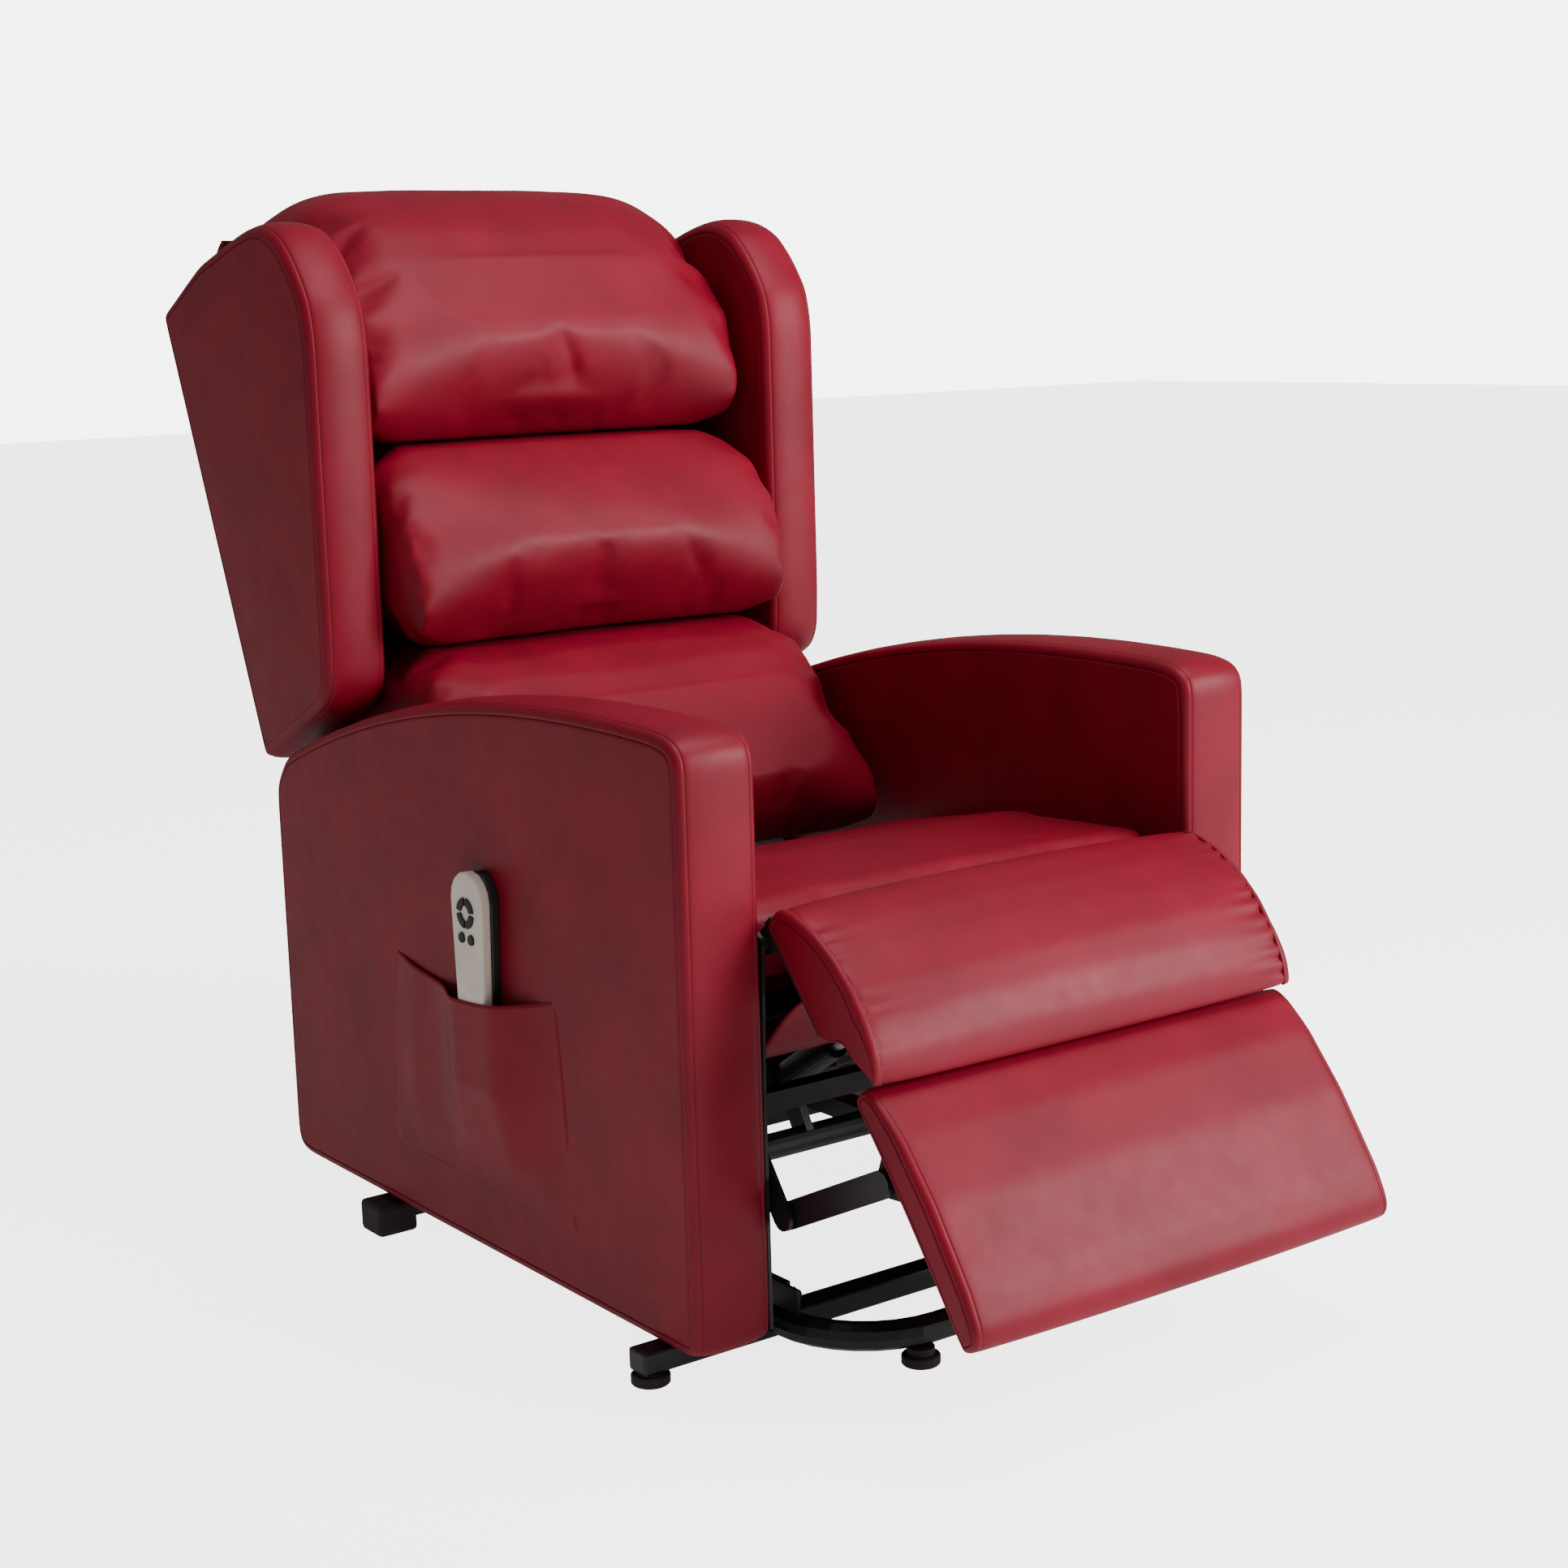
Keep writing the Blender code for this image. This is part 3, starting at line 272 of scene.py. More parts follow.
# %% Assign finishes to the frame
# Black on the seat platform and the back stiles is painted shade: the shade under the thigh pad and
# in the gap between arm and lumbar cushion.
FINISH_OF = (("foot", RUBBER), ("_rod", ZINC), ("housing", BLACK_ABS), ("control_box", BLACK_ABS),
             ("handset_front", CREAM_ABS), ("handset_back", BLACK_ABS), ("button", SILICONE),
             ("board", STAINED_BOARD_AND_PAINTED_SHADE), ("platform", STAINED_BOARD_AND_PAINTED_SHADE),
             ("back_stile", STAINED_BOARD_AND_PAINTED_SHADE), ("back_top_rail", BURGUNDY))

for name, thing in NODES.items():
    chosen = next((finish for word, finish in FINISH_OF if word in name), POWDER_COAT)
    thing.data.materials.clear()
    thing.data.materials.append(chosen)
print("frame pieces finished:", len(NODES))

# %% [markdown]
# ## Upholstered boards
# Arms, wings and leg-rest pads are made alike: two side panels joined by one long band. The
# outline is read from the frame's foam block, smoothed, and a cross-section runs round it.
# Where panel and band meet, the seam sinks into the foam; beside it the seam allowance makes
# a narrow bead, and a row of topstitching pulls a second, shallower line.


# %% Read an outline from a foam block
def signed_area(points):
    """The area inside a closed outline: above zero if its points run anticlockwise."""
    return sum(a.x * b.y - b.x * a.y for a, b in zip(points, points[1:] + points[:1])) / 2


def side_outline(name):
    """A foam block's fullest side outline as (forward, height) points, anticlockwise."""
    work = frame_copy(name)
    work.normal_update()
    low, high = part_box(name)
    middle = (low.x + high.x) / 2
    inner = min(abs(v.co.x - middle) for v in work.verts)
    on_plane = {v for v in work.verts
                if v.co.x > middle and abs(abs(v.co.x - middle) - inner) < 0.05 * MM}
    rim = [e for e in work.edges if e.verts[0] in on_plane and e.verts[1] in on_plane
           and min(abs(f.normal.x) for f in e.link_faces) < 0.02
           and max(abs(f.normal.x) for f in e.link_faces) > 0.02]
    joined = {}
    for e in rim:
        for v in e.verts:
            joined.setdefault(v, []).append(e.other_vert(v))
    loop = [rim[0].verts[0]]
    before = None
    for _ in range(len(joined) - 1):
        here = loop[-1]
        after = [v for v in joined[here] if v is not before]
        before = here
        loop.append(after[0])
    points = [Vector((-v.co.y, v.co.z)) for v in loop]
    work.free()
    return points if signed_area(points) > 0 else points[::-1]


def resampled(points, spacing, passes, creases=()):
    """A closed outline at even spacing, smoothed, with extra points either side of a crease."""
    count = len(points)
    lengths = [(points[(i + 1) % count] - points[i]).length for i in range(count)]
    total = sum(lengths)
    steps = max(8, round(total / spacing))

    def at(distance):
        distance %= total
        index = 0
        while distance > lengths[index]:
            distance -= lengths[index]
            index = (index + 1) % count
        share = distance / lengths[index] if lengths[index] else 0.0
        return points[index].lerp(points[(index + 1) % count], share)

    even = [at(total * i / steps) for i in range(steps)]
    for _ in range(passes):
        even = [(even[i - 1] + even[i] * 2 + even[(i + 1) % steps]) / 4 for i in range(steps)]
    if not creases:
        return even
    marks = [min(range(steps), key=lambda i: (even[i] - Vector(place)).length)
             for place in creases]
    made = []
    for i, here in enumerate(even):
        made.append(here)
        after = even[(i + 1) % steps]
        if i in marks or (i + 1) % steps in marks:
            made += [here.lerp(after, share) for share in (0.2, 0.4, 0.6, 0.8)]
    return made


def outward(points):
    """The unit normal at each point of an anticlockwise outline."""
    count = len(points)
    normals = []
    for i in range(count):
        step = points[(i + 1) % count] - points[i - 1]
        normals.append(Vector((step.y, -step.x)).normalized())
    return normals


def moved_in(points, normals, insets):
    """The outline moved in by an inset at each point; runs that would cross are drawn together."""
    count = len(points)
    moved = [p - n * s for p, n, s in zip(points, normals, insets)]
    for _ in range(6):
        for i in range(count):
            j = (i + 1) % count
            if (moved[j] - moved[i]).dot(points[j] - points[i]) < 0:
                meet = (moved[i - 1] + moved[i] + moved[j] + moved[(j + 1) % count]) / 4
                moved[i], moved[j] = meet.copy(), meet.copy()
    return moved


def room_inside(points, normals):
    """How far it is from each point straight in to the other side of the outline."""
    count = len(points)
    rooms = []
    for p, n in zip(points, normals):
        nearest = 1.0
        for i in range(count):
            a, b = points[i], points[(i + 1) % count]
            d = b - a
            cross = d.y * n.x - d.x * n.y
            if abs(cross) < 1e-12:
                continue
            away = a - p
            inward = (away.y * d.x - away.x * d.y) / cross
            share = (away.y * n.x - away.x * n.y) / cross
            if inward > 1e-4 and 0 <= share <= 1:
                nearest = min(nearest, inward)
        rooms.append(nearest)
    for _ in range(3):
        rooms = [min(rooms[i - 1], rooms[i], rooms[(i + 1) % count]) for i in range(count)]
    for _ in range(8):
        rooms = [(rooms[i - 1] + rooms[i] * 2 + rooms[(i + 1) % count]) / 4
                 for i in range(count)]
    return rooms


print("outline tools ready")

# %% [markdown]
# The cross-section is a list of stations from the side panel over the corner to the middle of
# the band. Each has a depth from the panel's plane and an inset from the outline. The panels
# are filled with a triangle mesh that has inner points, so that they can swell a little.

# %% The cross-section and the panel fill
BEAD = 9.0 * MM
SEAM_STATIONS = ((0.0, 15.0), (0.0, 12.0), (0.3, 10.4), (1.7, 9.5), (0.5, 8.6), (0.35, 7.0),
                 (1.1, 4.2), (2.8, 2.0), (5.2, 0.6), (7.4, 0.25), (8.3, 0.5), (9.0, 1.1),
                 (9.7, 0.5), (11.0, 0.15))
STITCH_STATION = 11                 # of the stations above, the one under the topstitching
ROOM_USED = 0.36                    # how much of a narrow tip the insets may take up
CREASE_DEPTH = 1.3 * MM
CREASE_REACH = 1.6 * MM
SWELL_REACH = 60 * MM               # from the seam to where a panel has nearly its full swell
PANEL_COARSENESS = 2.2              # a panel's inner points are this much wider apart


def band_stations(width, crown, steps):
    """(distance from one panel's plane, inset) across the whole band, both corners included."""
    half = width / 2
    corner = [(depth * MM, inset * MM) for depth, inset in SEAM_STATIONS]
    first = corner[-1][0]
    middle = [(first + (half - first) * i / steps, 0.0) for i in range(1, steps + 1)]
    near = corner + middle
    stations = []
    for depth, inset in near:
        share = min(1.0, abs(half - depth) / half)
        stations.append((depth, inset + crown * share ** 2.4))
    return stations + [(width - depth, inset) for depth, inset in stations[-2::-1]]


def fill_panel(ring, spacing):
    """Triangles inside a closed ring of (forward, height) points, with a grid of inner points."""
    low = Vector((min(p.x for p in ring), min(p.y for p in ring)))
    high = Vector((max(p.x for p in ring), max(p.y for p in ring)))
    count = len(ring)
    inner = []
    rows = int((high.y - low.y) / spacing)
    columns = int((high.x - low.x) / spacing)
    for row in range(1, rows + 1):
        z = low.y + row * spacing
        crossings = []
        for i in range(count):
            a, b = ring[i], ring[(i + 1) % count]
            if (a.y > z) != (b.y > z):
                crossings.append(a.x + (z - a.y) * (b.x - a.x) / (b.y - a.y))
        crossings.sort()
        for column in range(1, columns + 1):
            u = low.x + (column + 0.5 * (row % 2)) * spacing
            for left, right in zip(crossings[::2], crossings[1::2]):
                if left + 0.6 * spacing < u < right - 0.6 * spacing:
                    inner.append(Vector((u, z)))
    edges = [(i, (i + 1) % count) for i in range(count)]
    found = delaunay_2d_cdt(list(ring) + inner, edges, [], 1, 1e-7)
    return found[0], found[2]


def upholstered(name, node_name, finish, crown=6 * MM, swell=1.5 * MM, spacing=7 * MM, passes=6,
                creases=(), across=10, ripple=None, side_ripple=None, reshape=None):
    """A board under leather, from its foam block. Returns the object and its two stitch lines."""
    low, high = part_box(node_name)
    width = high.x - low.x
    blank = side_outline(node_name)
    outline = resampled(reshape(blank) if reshape else blank, spacing, passes, creases)
    normals = outward(outline)
    count = len(outline)
    pulls = []
    for p in outline:
        near = min(((p - Vector(c)).length for c in creases), default=1.0)
        pulls.append(CREASE_DEPTH * math.exp(-(near / CREASE_REACH) ** 2))
    points, rings, stitch_lines = [], [], []
    stations = band_stations(width, crown, across)
    deepest = max(inset for _, inset in stations)
    shares = [min(1.0, ROOM_USED * room / deepest) for room in room_inside(outline, normals)]
    for number, (depth, inset) in enumerate(stations):
        on_band = BEAD < depth < width - BEAD
        insets = []
        for i in range(count):
            extra = pulls[i] if depth > 3 * MM and depth < width - 3 * MM else 0.0
            if ripple and on_band:
                extra += ripple(outline[i], depth, width, i / count)
            insets.append(inset * shares[i] + extra)
        line = moved_in(outline, normals, insets)
        x = low.x + depth
        rings.append(len(points))
        points += [Vector((x, -p.x, p.y)) for p in line]
        if number in (STITCH_STATION, len(stations) - 1 - STITCH_STATION):
            stitch_lines.append([Vector((x, -p.x, p.y)) for p in line])
    faces = []
    for a, b in zip(rings, rings[1:]):
        for i in range(count):
            j = (i + 1) % count
            faces.append((a + i, a + j, b + j, b + i))
    for ring, side in ((rings[0], -1), (rings[-1], 1)):
        edge = [Vector((-points[ring + i].y, points[ring + i].z)) for i in range(count)]
        found, triangles = fill_panel(edge, PANEL_COARSENESS * spacing)
        base = len(points)
        plane = points[ring].x
        walls = BVHTree.FromPolygons([(p.x, p.y, d) for p in edge for d in (-1.0, 1.0)],
                                     [(2 * i, 2 * i + 1, (2 * i + 3) % (2 * count),
                                       (2 * i + 2) % (2 * count)) for i in range(count)])
        for p in found:
            gap = walls.find_nearest((p.x, p.y, 0.0))[3] or 0.0
            rise = swell * (1 - math.exp(-gap / SWELL_REACH))
            if side_ripple:
                rise += side_ripple(p, gap)
            points.append(Vector((plane + side * rise, -p.x, p.y)))
        faces += [tuple(base + k for k in triangle) for triangle in triangles]
    made = piece(name, points, faces, finish)
    return made, stitch_lines


SEAMS = {}


def stitch_later(body, line, keep=None):
    """Keeps a line for the stitching step; keep says which of its points carry stitches."""
    run = []
    for point in line + line[:1]:
        if keep is None or keep(point):
            run.append(point)
        elif len(run) > 1:
            SEAMS.setdefault(body, []).append(run)
            run = []
        else:
            run = []
    if len(run) > 1:
        SEAMS.setdefault(body, []).append(run)


print("upholstery tools ready")

# %% [markdown]
# ## Armrests
# Each arm is a padded board with an arched top. The band over the top ends at the front edge,
# where a cross seam joins it to the front facing. The side panels swell by a millimetre or two.

# %% Make the armrests
arm_low, arm_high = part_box("armrest_left")
ARM_CORNER = (-arm_low.y - 4 * MM, arm_high.z - 0.1075)


def soft_wave(size, depth, seed):
    def wave(p, gap):
        fade = 1 - math.exp(-gap / (40 * MM))
        return fade * depth * noise.noise(Vector((p.x / size, p.y / size, seed)))
    return wave


for side, seed in (("left", 3.1), ("right", 7.7)):
    arm_name = "armrest_" + side
    arm, lines = upholstered("upholstered_" + arm_name, arm_name, BURGUNDY, crown=5 * MM,
                             creases=(ARM_CORNER,), side_ripple=soft_wave(0.16, 1.2 * MM, seed))
    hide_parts(arm_name)
    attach(arm, "carriage")
    for line in lines:
        stitch_later("carriage", line, lambda p: p.z > arm_low.z + 12 * MM)
    print(arm.name, len(arm.data.polygons), "faces")

# %% [markdown]
# ## Wings
# The wings are the same construction with a thicker filling, so the band is rounder.

# %% Make the wings
wing_low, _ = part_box("wing_left")
for side, seed in (("left", 1.3), ("right", 5.9)):
    wing_name = "wing_" + side
    wing, lines = upholstered("upholstered_" + wing_name, wing_name, BURGUNDY, crown=9 * MM,
                              swell=2.5 * MM, side_ripple=soft_wave(0.14, 1.6 * MM, seed))
    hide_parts(wing_name)
    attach(wing, "back")
    for line in lines:
        stitch_later("back", line, lambda p: p.z > wing_low.z + 30 * MM)
    print(wing.name, len(wing.data.polygons), "faces")

# %% [markdown]
# ## Leg-rest pads
# The upper pad's front panel is gathered into its side seams, which makes small puckers that
# fade within a few centimetres. The lower pad is boxed: a plain band runs down each side.


# %% Make the leg-rest pads
def gathers(pitch, depth, reach):
    """Puckers along both side seams, deepest at the seam and gone at the reach."""
    def pucker(p, distance, width, share):
        from_seam = min(distance, width - distance) - BEAD
        side = 11.3 if distance > width / 2 else 0.0
        along = p.x * 0.65 - p.y * 0.76
        phase = along / pitch + 1.7 * noise.noise(Vector((along / (2.6 * pitch), side, 0.4)))
        size = 0.55 + 0.9 * noise.noise(Vector((along / (1.9 * pitch), side, 5.2)))
        fade = math.exp(-from_seam / (reach * (0.7 + 0.6 * abs(size))))
        return depth * max(0.0, size) * fade * 0.5 * (1 + math.cos(2 * math.pi * phase))
    return pucker


def wrapped(slope, depth, growth):
    """A reshaping of a pad's outline, for leather that turns round the board behind it: the flat
    back moves out by the board's depth, and the ends grow a little so that the pads meet."""
    out = Vector((math.sin(math.radians(slope)), math.cos(math.radians(slope))))
    run = Vector((out.y, -out.x))

    def reshape(points):
        back = min(p.dot(out) for p in points)
        first = min(p.dot(run) for p in points)
        last = max(p.dot(run) for p in points)
        made = []
        for p in points:
            share = (p.dot(run) - first) / (last - first)
            behind = depth if p.dot(out) < back + 1 * MM else 0.0
            made.append(p - out * behind + run * (share * growth[1] - (1 - share) * growth[0]))
        return made
    return reshape


BOARD_WRAP = 13.5 * MM
THIGH_SLOPE = 49.5                  # degrees below horizontal, as the frame's pads lie
LEG_SLOPE = 53.0
PADS = (("thigh_pad", "upper_leg_rest", 6 * MM, 3.5 * MM, gathers(19 * MM, 4.0 * MM, 15 * MM),
         wrapped(THIGH_SLOPE, BOARD_WRAP, (0.0, 5 * MM))),
        ("leg_pad", "lower_leg_rest", 4 * MM, 2.0 * MM, None,
         wrapped(LEG_SLOPE, BOARD_WRAP, (2 * MM, 1 * MM))))
for pad_name, body, crown, swell, ripple, reshape in PADS:
    pad, lines = upholstered("upholstered_" + pad_name, pad_name, BURGUNDY, crown=crown,
                             swell=swell, spacing=4 * MM, passes=5, across=34, ripple=ripple,
                             reshape=reshape)
    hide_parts(pad_name)
    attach(pad, body)
    for line in lines:
        stitch_later(body, line)
    print(pad.name, len(pad.data.polygons), "faces")

# %% [markdown]
# ## Seat and back cushions
# These are loose-filled, so they are blown up like a balloon in a cloth simulation. Each starts
# as its foam block, drawn in, remeshed into even quads and smoothed. Pressure then pushes the
# skin out, and the movement is capped so that no cushion grows into its neighbour.

# %% Blow up a cushion
VOXEL = 7 * MM
SIMULATED_FRAMES = 20


def drawn_in(work, amount):
    work.normal_update()
    for v in work.verts:
        v.co -= v.normal * amount


def cushion_form(name, finish, draw, smoothing):
    work = frame_copy(name)
    mesh = bpy.data.meshes.new(name + "_skin")
    work.to_mesh(mesh)
    work.free()
    made = bpy.data.objects.new("soft_" + name, mesh)
    bpy.context.scene.collection.objects.link(made)
    remesh = made.modifiers.new("even_quads", "REMESH")
    remesh.mode = "VOXEL"
    remesh.voxel_size = VOXEL
    relax = made.modifiers.new("relax", "SMOOTH")
    relax.factor = 0.5
    relax.iterations = smoothing
    plain_mesh(made)
    work = bmesh.new()
    work.from_mesh(made.data)
    drawn_in(work, draw)
    work.to_mesh(made.data)
    work.free()
    made.data.materials.clear()
    made.data.materials.append(finish)
    return made


def shouldered(made, start, height, drop):
    """Rounds a cushion's upper corners: beyond start from the middle its top falls away."""
    half = max(v.co.x for v in made.data.vertices)
    top = max(v.co.z for v in made.data.vertices)
    for v in made.data.vertices:
        share = max(0.0, abs(v.co.x) - start) / (half - start)
        up = max(0.0, v.co.z - (top - height)) / height
        fall = drop * (1 - math.sqrt(max(0.0, 1 - min(1.0, share) ** 2))) * up
        v.co.z -= fall


def blown_up(made, pressure):
    scene = bpy.context.scene
    cloth = made.modifiers.new("skin", "CLOTH")
    cloth.settings.quality = 4
    cloth.settings.mass = 0.4
    cloth.settings.tension_stiffness = 12
    cloth.settings.compression_stiffness = 12
    cloth.settings.bending_stiffness = 0.6
    cloth.settings.use_pressure = True
    cloth.settings.uniform_pressure_force = pressure
    cloth.settings.effector_weights.gravity = 0.0
    cloth.collision_settings.use_collision = False
    cloth.collision_settings.use_self_collision = False
    cloth.point_cache.frame_start = 1
    cloth.point_cache.frame_end = SIMULATED_FRAMES
    for number in range(1, SIMULATED_FRAMES + 1):
        scene.frame_set(number)
    return plain_mesh(made)


def held_to_block(made, start, cap, name, proud):
    """Caps each point's movement, then keeps it within proud of the foam block."""
    block = BVHTree.FromBMesh(frame_copy(name))
    for v, before in zip(made.data.vertices, start):
        step = v.co - before
        if step.length > cap:
            v.co = before + step * (cap / step.length)
        near, normal, _, _ = block.find_nearest(v.co)
        outside = (v.co - near).dot(normal)
        allowed = proud * max(0.0, -normal.y) ** 2
        if outside > allowed:
            v.co -= normal * (outside - allowed)


# Name, body, how far its block is drawn in, smoothing passes and pressure.
CUSHIONS = (("head_cushion", "back", 7 * MM, 16, 3.5),
            ("middle_cushion", "back", 7 * MM, 14, 3.5),
            ("lumbar_cushion", "back", 5 * MM, 12, 3.0),
            ("seat_cushion", "carriage", 2 * MM, 8, 0.8))
MOST_MOVED = 26 * MM
MOST_PROUD = 8 * MM                 # of its block, and only towards the sitter
# Where a cushion's shoulders start from its middle, their height, and how far they drop.
SHOULDERS = {"head_cushion": (0.165, 0.16, 52 * MM), "middle_cushion": (0.20, 0.10, 22 * MM)}
for cushion_name, body, draw, smoothing, pressure in CUSHIONS:
    cushion = cushion_form(cushion_name, BURGUNDY, draw, smoothing)
    if cushion_name in SHOULDERS:
        shouldered(cushion, *SHOULDERS[cushion_name])
    resting = [v.co.copy() for v in cushion.data.vertices]
    blown_up(cushion, pressure)
    held_to_block(cushion, resting, MOST_MOVED, cushion_name, MOST_PROUD)
    settle = cushion.modifiers.new("settle", "SMOOTH")
    settle.factor, settle.iterations = 0.5, 5
    plain_mesh(cushion)
    finer = cushion.modifiers.new("finer", "SUBSURF")
    finer.levels = finer.render_levels = 1
    plain_mesh(cushion)
    cushion.data.shade_smooth()
    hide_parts(cushion_name)
    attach(cushion, body)
    print(cushion.name, len(cushion.data.polygons), "faces")

# %% [markdown]
# ## Back shell and pocket
# The rear of the back is a flat panel over a thin board. The handset pocket is one patch of
# leather on the left arm: it hugs the handset and lies flat at its sewn edges.

# %% Make the rear panel
shell, _ = upholstered("upholstered_back_shell", "back_shell", BURGUNDY, crown=0.0,
                       swell=0.0, spacing=12 * MM, passes=0, across=30)
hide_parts("back_shell")
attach(shell, "back")
print(shell.name, len(shell.data.polygons), "faces")

# %% Make the pocket
pocket_low, pocket_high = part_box("handset_pocket")
handset_low, handset_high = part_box("handset_front")
LEATHER = 1.6 * MM
HANDSET_AT = -(handset_low.y + handset_high.y) / 2
HANDSET_HALF = (handset_high.y - handset_low.y) / 2 + 2 * MM
MOUTH = ((-pocket_high.y + 15 * MM, pocket_high.z - 6 * MM), (0.003, pocket_high.z - 26 * MM),
         (0.075, pocket_high.z - 24 * MM), (-pocket_low.y - 24 * MM, pocket_high.z))
FOOT = ((-pocket_high.y, pocket_low.z), (-pocket_low.y, pocket_low.z))
POCKET_CLIMB = 62 * MM
POCKET_RISE = arm_low.x - handset_low.x + 1.2 * MM


def through(points, share):
    """The place at a share of the way along one smooth curve through four points."""
    knots = (0.0, 0.42, 0.62, 1.0)
    total = Vector((0.0, 0.0))
    for i, p in enumerate(points):
        weight = 1.0
        for j, other in enumerate(knots):
            if j != i:
                weight *= (share - other) / (knots[i] - other)
        total += Vector(p) * weight
    return total


def pocket_patch():
    columns, rows = 64, 44
    arm_plane = arm_low.x
    points = []
    for row in range(rows + 1):
        up = row / rows
        for column in range(columns + 1):
            share = column / columns
            top = through(MOUTH, share)
            foot = Vector(FOOT[0]).lerp(Vector(FOOT[1]), share)
            p = foot.lerp(top, up)
            edge = min(share, 1 - share)
            sewn = min(1.0, edge / 0.16) * min(1.0, up / 0.22)
            sewn = sewn * sewn * (3 - 2 * sewn)
            aside = max(0.0, abs(p.x - HANDSET_AT) - HANDSET_HALF) / POCKET_CLIMB
            handset = math.exp(-aside ** 2 * 2.2)
            over = (POCKET_RISE - 4.5 * MM) * handset * min(1.0, up * 1.8)
            lift = 0.5 * MM + sewn * (4 * MM + over)
            fold = 0.8 * MM * sewn * noise.noise(Vector((p.x * 14, p.y * 9, 2.2)))
            points.append(Vector((arm_plane - lift - fold, -p.x, p.y)))
    faces = []
    for row in range(rows):
        for column in range(columns):
            a = row * (columns + 1) + column
            faces.append((a, a + 1, a + columns + 2, a + columns + 1))
    made = piece("pocket_patch", points, faces, BURGUNDY)
    wall = made.modifiers.new("leather", "SOLIDIFY")
    wall.thickness = LEATHER
    wall.offset = 0.0
    plain_mesh(made)
    right = [points[row * (columns + 1) + columns] for row in range(rows + 1)]
    return made, right


pocket, right_edge = pocket_patch()
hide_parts("handset_pocket")
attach(pocket, "carriage")

# The pocket's pattern is its outline laid flat: the foot and the curve of its mouth.
pattern = [Vector(p) for p in FOOT] + [through(MOUTH, 1 - i / 40) for i in range(41)]
stitch_later("carriage", right_edge[:-1][::-1] + [right_edge[0]])

# %% [markdown]
# The gap between the seat's front and the upper pad is closed by a hanging apron of the same
# leather. It crosses the pad's hinge as one fixed piece, tied to neither the seat nor the pad.

# %% Make the apron
platform_low, platform_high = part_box("seat_platform")
APRON_HALF = platform_high.x - 3 * MM
apron_start = (-platform_low.y + 1.5 * MM, platform_high.z - 8 * MM)
APRON = (apron_start, (apron_start[0] + 0.010, 0.312), (0.360, 0.300), (0.384, 0.316),
         (0.420, 0.355), (0.453, 0.383), (0.476, 0.393))


def leather_strip(name, section, half_width, sag):
    """One layer of leather across the chair, along a section of (forward, height) points."""
    there = [Vector(p) for p in section]
    line = resampled(there + there[-2:0:-1], 6 * MM, 4)
    line = line[:len(line) // 2 + 1]
    length = sum((b - a).length for a, b in zip(line, line[1:]))
    columns = 72
    points = []
    for p in line:
        for column in range(columns + 1):
            x = half_width * (2 * column / columns - 1)
            fold = sag * noise.noise(Vector((x * 26, p.x * 3, 8.8)))
            points.append(Vector((x, -p.x, p.y - abs(fold))))
    faces = []
    for row in range(len(line) - 1):
        for column in range(columns):
            a = row * (columns + 1) + column
            faces.append((a, a + 1, a + columns + 2, a + columns + 1))
    made = piece(name, points, faces, BURGUNDY)
    wall = made.modifiers.new("leather", "SOLIDIFY")
    wall.thickness = LEATHER
    wall.offset = 0.0
    return plain_mesh(made), length


apron, apron_length = leather_strip("hanging_apron", APRON, APRON_HALF, 1.6 * MM)
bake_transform(apron)
print("apron", round(apron_length, 3), "m long")

# %% [markdown]
# At the top of the back the rear panel's leather turns forward and runs up to the head cushion,
# so that the frame between them is closed.

# %% Make the top cover
_, shell_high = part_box("back_shell")
TOP_COVER = ((-shell_high.y + 1 * MM, shell_high.z + 3 * MM),
             (-shell_high.y + 6 * MM, shell_high.z + 17 * MM),
             (-shell_high.y + 20 * MM, shell_high.z + 31 * MM),
             (-shell_high.y + 35 * MM, shell_high.z + 41 * MM))
cover_half = shell_high.x - 6 * MM
cover, cover_length = leather_strip("back_top_cover", TOP_COVER, cover_half, 0.4 * MM)
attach(cover, "back")
print("top cover", round(cover_length, 3), "m long")

# %% [markdown]
# ## Stitching
# Every stitch is the same short capsule of thread, so Geometry Nodes lay them: points at an
# even pitch along each kept seam line, a capsule on each, turned along the seam.

# %% Build the stitch tree
STITCH_PITCH = 5.0 * MM
STITCH_LENGTH = 3.4 * MM
THREAD_WIDTH = 0.9 * MM


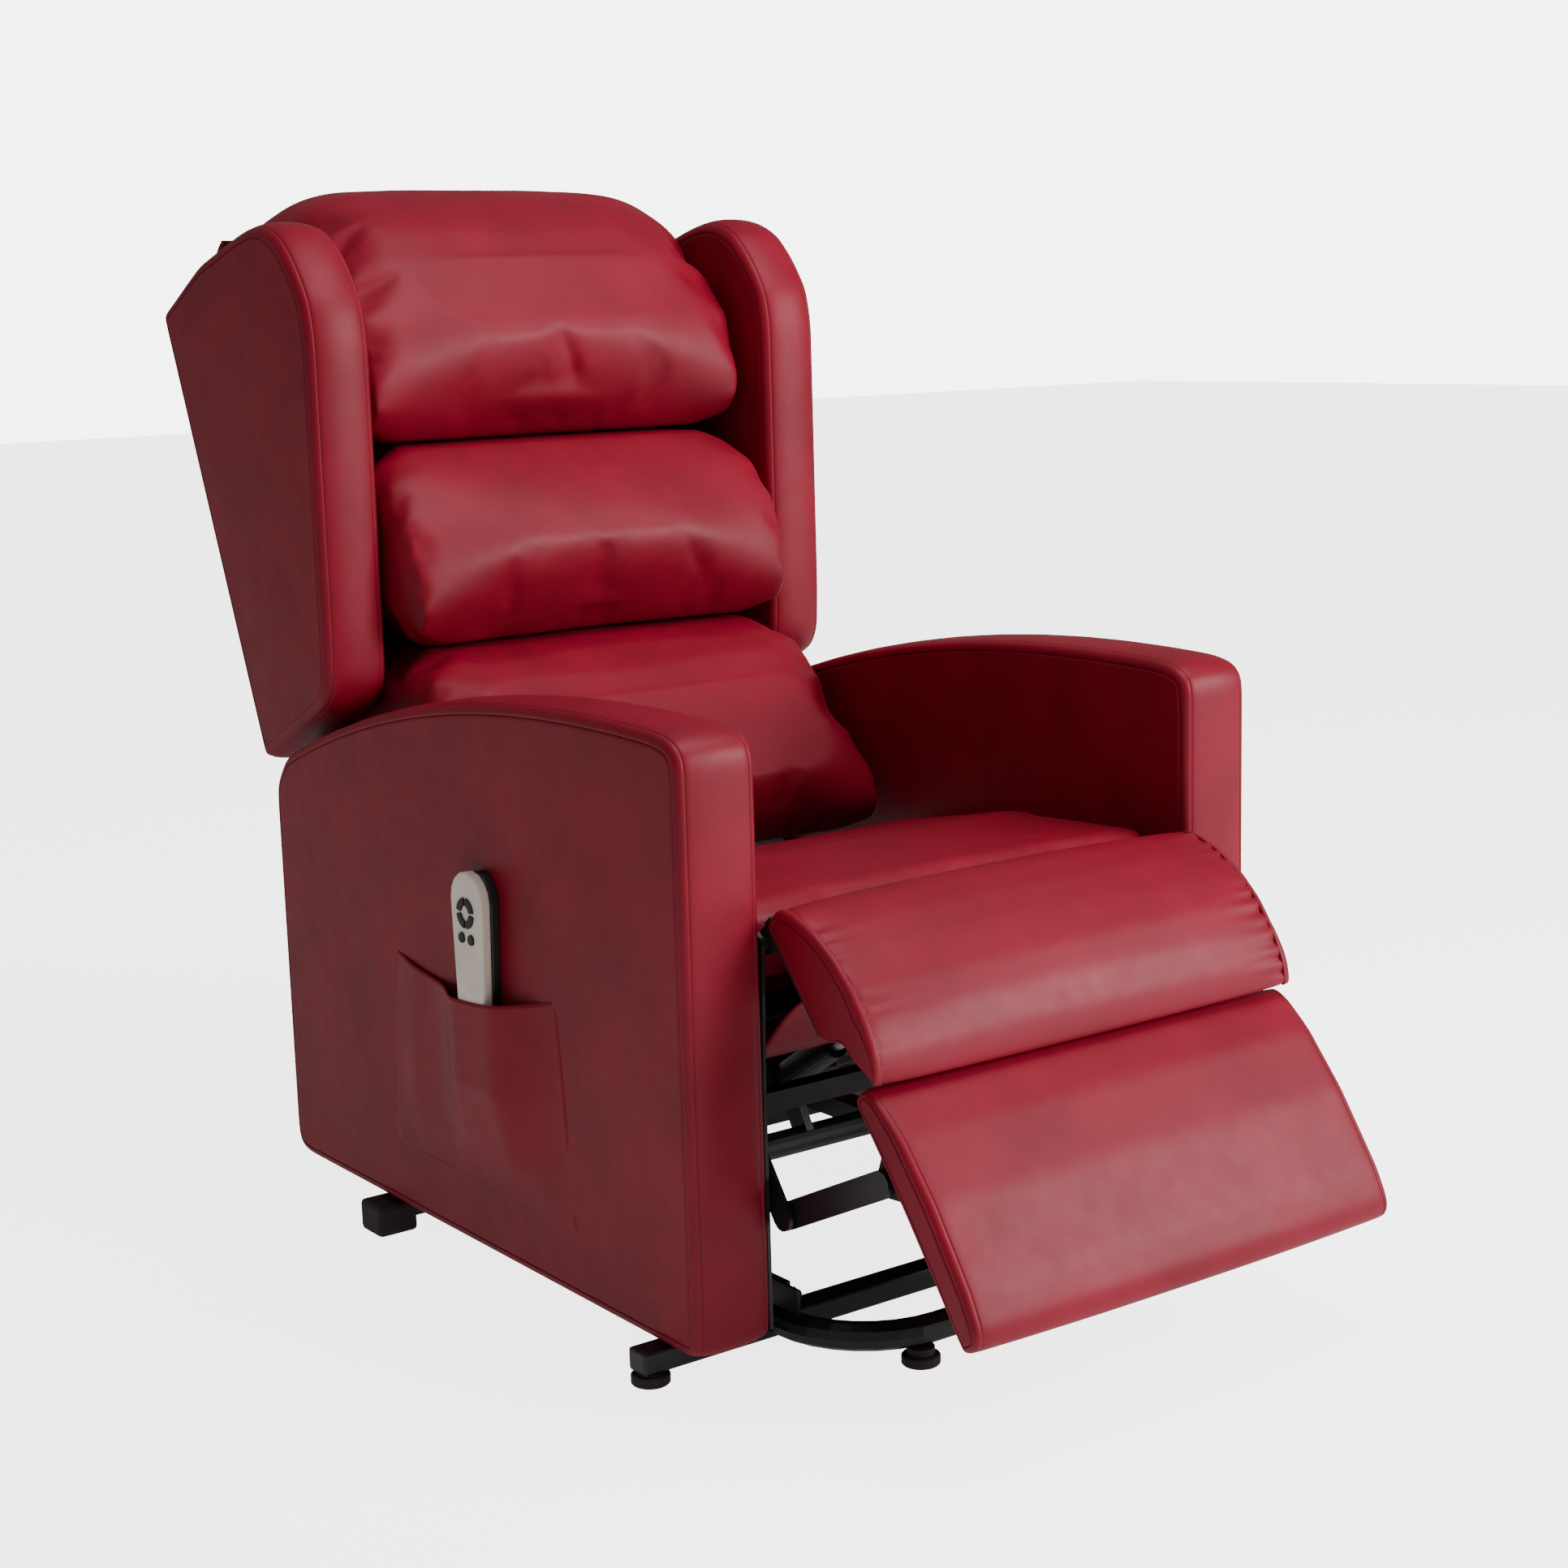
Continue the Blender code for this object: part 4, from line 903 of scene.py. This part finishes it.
def stitch_tree():
    tree = bpy.data.node_groups.new("stitch_row", "GeometryNodeTree")
    face = tree.interface
    face.new_socket("Geometry", in_out="INPUT", socket_type="NodeSocketGeometry")
    for label in ("Pitch", "Stitch Length", "Thread Width"):
        face.new_socket(label, in_out="INPUT", socket_type="NodeSocketFloat")
    face.new_socket("Thread", in_out="INPUT", socket_type="NodeSocketMaterial")
    face.new_socket("Geometry", in_out="OUTPUT", socket_type="NodeSocketGeometry")
    given = node(tree, "NodeGroupInput").outputs
    seam = node(tree, "GeometryNodeMeshToCurve", links={"Mesh": given["Geometry"]})
    spots = node(tree, "GeometryNodeCurveToPoints", mode="LENGTH",
                 links={"Curve": seam.outputs[0], "Length": given["Pitch"]})
    size = node(tree, "ShaderNodeCombineXYZ", links={"X": given["Thread Width"],
                                                      "Y": given["Thread Width"],
                                                      "Z": given["Stitch Length"]})
    ball = node(tree, "GeometryNodeMeshUVSphere", {"Segments": 6, "Rings": 4, "Radius": 0.5})
    stitch = node(tree, "GeometryNodeTransform", links={"Geometry": ball.outputs["Mesh"],
                                                         "Scale": size.outputs[0]})
    laid = node(tree, "GeometryNodeInstanceOnPoints",
                links={"Points": spots.outputs["Points"], "Instance": stitch.outputs[0],
                       "Rotation": spots.outputs["Rotation"]})
    real = node(tree, "GeometryNodeRealizeInstances", links={"Geometry": laid.outputs[0]})
    done = node(tree, "GeometryNodeSetMaterial", links={"Geometry": real.outputs[0],
                                                         "Material": given["Thread"]})
    node(tree, "NodeGroupOutput", links={"Geometry": done.outputs[0]})
    return tree


def set_inputs(modifier, values):
    for item in modifier.node_group.interface.items_tree:
        if item.item_type == "SOCKET" and item.in_out == "INPUT" and item.name in values:
            modifier[item.identifier] = values[item.name]


STITCHES = stitch_tree()

# %% Sew the seams of each body
for body, runs in SEAMS.items():
    points = [p for run in runs for p in run]
    edges, first = [], 0
    for run in runs:
        edges += [(first + i, first + i + 1) for i in range(len(run) - 1)]
        first += len(run)
    mesh = bpy.data.meshes.new("stitching_" + body)
    mesh.from_pydata(points, edges, [])
    rows = bpy.data.objects.new("stitching_" + body, mesh)
    bpy.context.scene.collection.objects.link(rows)
    sewn = rows.modifiers.new("stitches", "NODES")
    sewn.node_group = STITCHES
    set_inputs(sewn, {"Pitch": STITCH_PITCH, "Stitch Length": STITCH_LENGTH,
                      "Thread Width": THREAD_WIDTH, "Thread": THREAD})
    plain_mesh(rows)
    rows.data.shade_smooth()
    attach(rows, body)
    print(rows.name, len(rows.data.polygons), "faces")

# %% [markdown]
# ## Studio
# A plain pale floor and two large soft lights: a key from the right of the camera and a broad
# one overhead, so that the front glows and the left arm falls darker. The backdrop and the
# floor look bright, but give the chair only a dim even fill, which keeps its red deep.

# %% Floor, lights and camera
PAPER, paper_tree, paper_shader, _ = finish_material("studio_paper", 0.9)
paper_shader.inputs["Base Color"].default_value = hex_colour("#f7f6f5")
paper_shader.inputs["Emission Color"].default_value = hex_colour("#ffffff")
paper_seen = node(paper_tree, "ShaderNodeLightPath")
paper_glow = node(paper_tree, "ShaderNodeMapRange", {"To Min": 0.25, "To Max": 3.6},
                  {"Value": paper_seen.outputs["Is Camera Ray"]})
paper_tree.links.new(paper_glow.outputs["Result"], paper_shader.inputs["Emission Strength"])
floor = piece("studio_floor", [(-20, -20, 0), (20, -20, 0), (20, 20, 0), (-20, 20, 0)],
              [(0, 1, 2, 3)], PAPER)

world = bpy.data.worlds.new("studio")
bpy.context.scene.world = world
world.use_nodes = True
sky = world.node_tree
backdrop = sky.nodes["Background"]
backdrop.inputs["Color"].default_value = hex_colour("#ffffff")
backdrop.inputs["Strength"].default_value = 6.0
fill = node(sky, "ShaderNodeBackground", {"Color": hex_colour("#fbf7f4"), "Strength": 0.24})
seen = node(sky, "ShaderNodeLightPath")
chosen = node(sky, "ShaderNodeMixShader", links={"Fac": seen.outputs["Is Camera Ray"]})
sky.links.new(fill.outputs[0], chosen.inputs[1])
sky.links.new(backdrop.outputs[0], chosen.inputs[2])
sky.links.new(chosen.outputs[0], sky.nodes["World Output"].inputs["Surface"])


def soft_light(name, place, target, size, power):
    lamp = bpy.data.lights.new(name, "AREA")
    lamp.shape = "RECTANGLE"
    lamp.size, lamp.size_y = size
    lamp.energy = power
    made = bpy.data.objects.new(name, lamp)
    made.location = place
    made.rotation_euler = (Vector(target) - Vector(place)).to_track_quat("-Z", "Y").to_euler()
    bpy.context.scene.collection.objects.link(made)


soft_light("key", (2.3, -3.4, 1.9), (0.0, -0.1, 0.6), (2.2, 1.6), 190)
soft_light("overhead", (0.3, -0.9, 3.2), (0.0, -0.2, 0.5), (2.0, 2.0), 60)

CAMERA_PLACE = (-1.6983, -2.4248, 1.0516)
CAMERA_YAW, CAMERA_PITCH, CAMERA_ROLL = 36.113, 10.501, -1.587
camera_data = bpy.data.cameras.new("camera")
camera_data.lens = 60.07
camera_data.sensor_width = 36.0
camera = bpy.data.objects.new("camera", camera_data)
camera.location = CAMERA_PLACE
look = Euler((math.radians(90 - CAMERA_PITCH), 0.0, math.radians(-CAMERA_YAW)), "XYZ")
roll = Matrix.Rotation(math.radians(CAMERA_ROLL), 4, "Z")
camera.rotation_euler = (look.to_matrix().to_4x4() @ roll).to_euler()
bpy.context.scene.collection.objects.link(camera)
bpy.context.scene.camera = camera
print("studio ready")
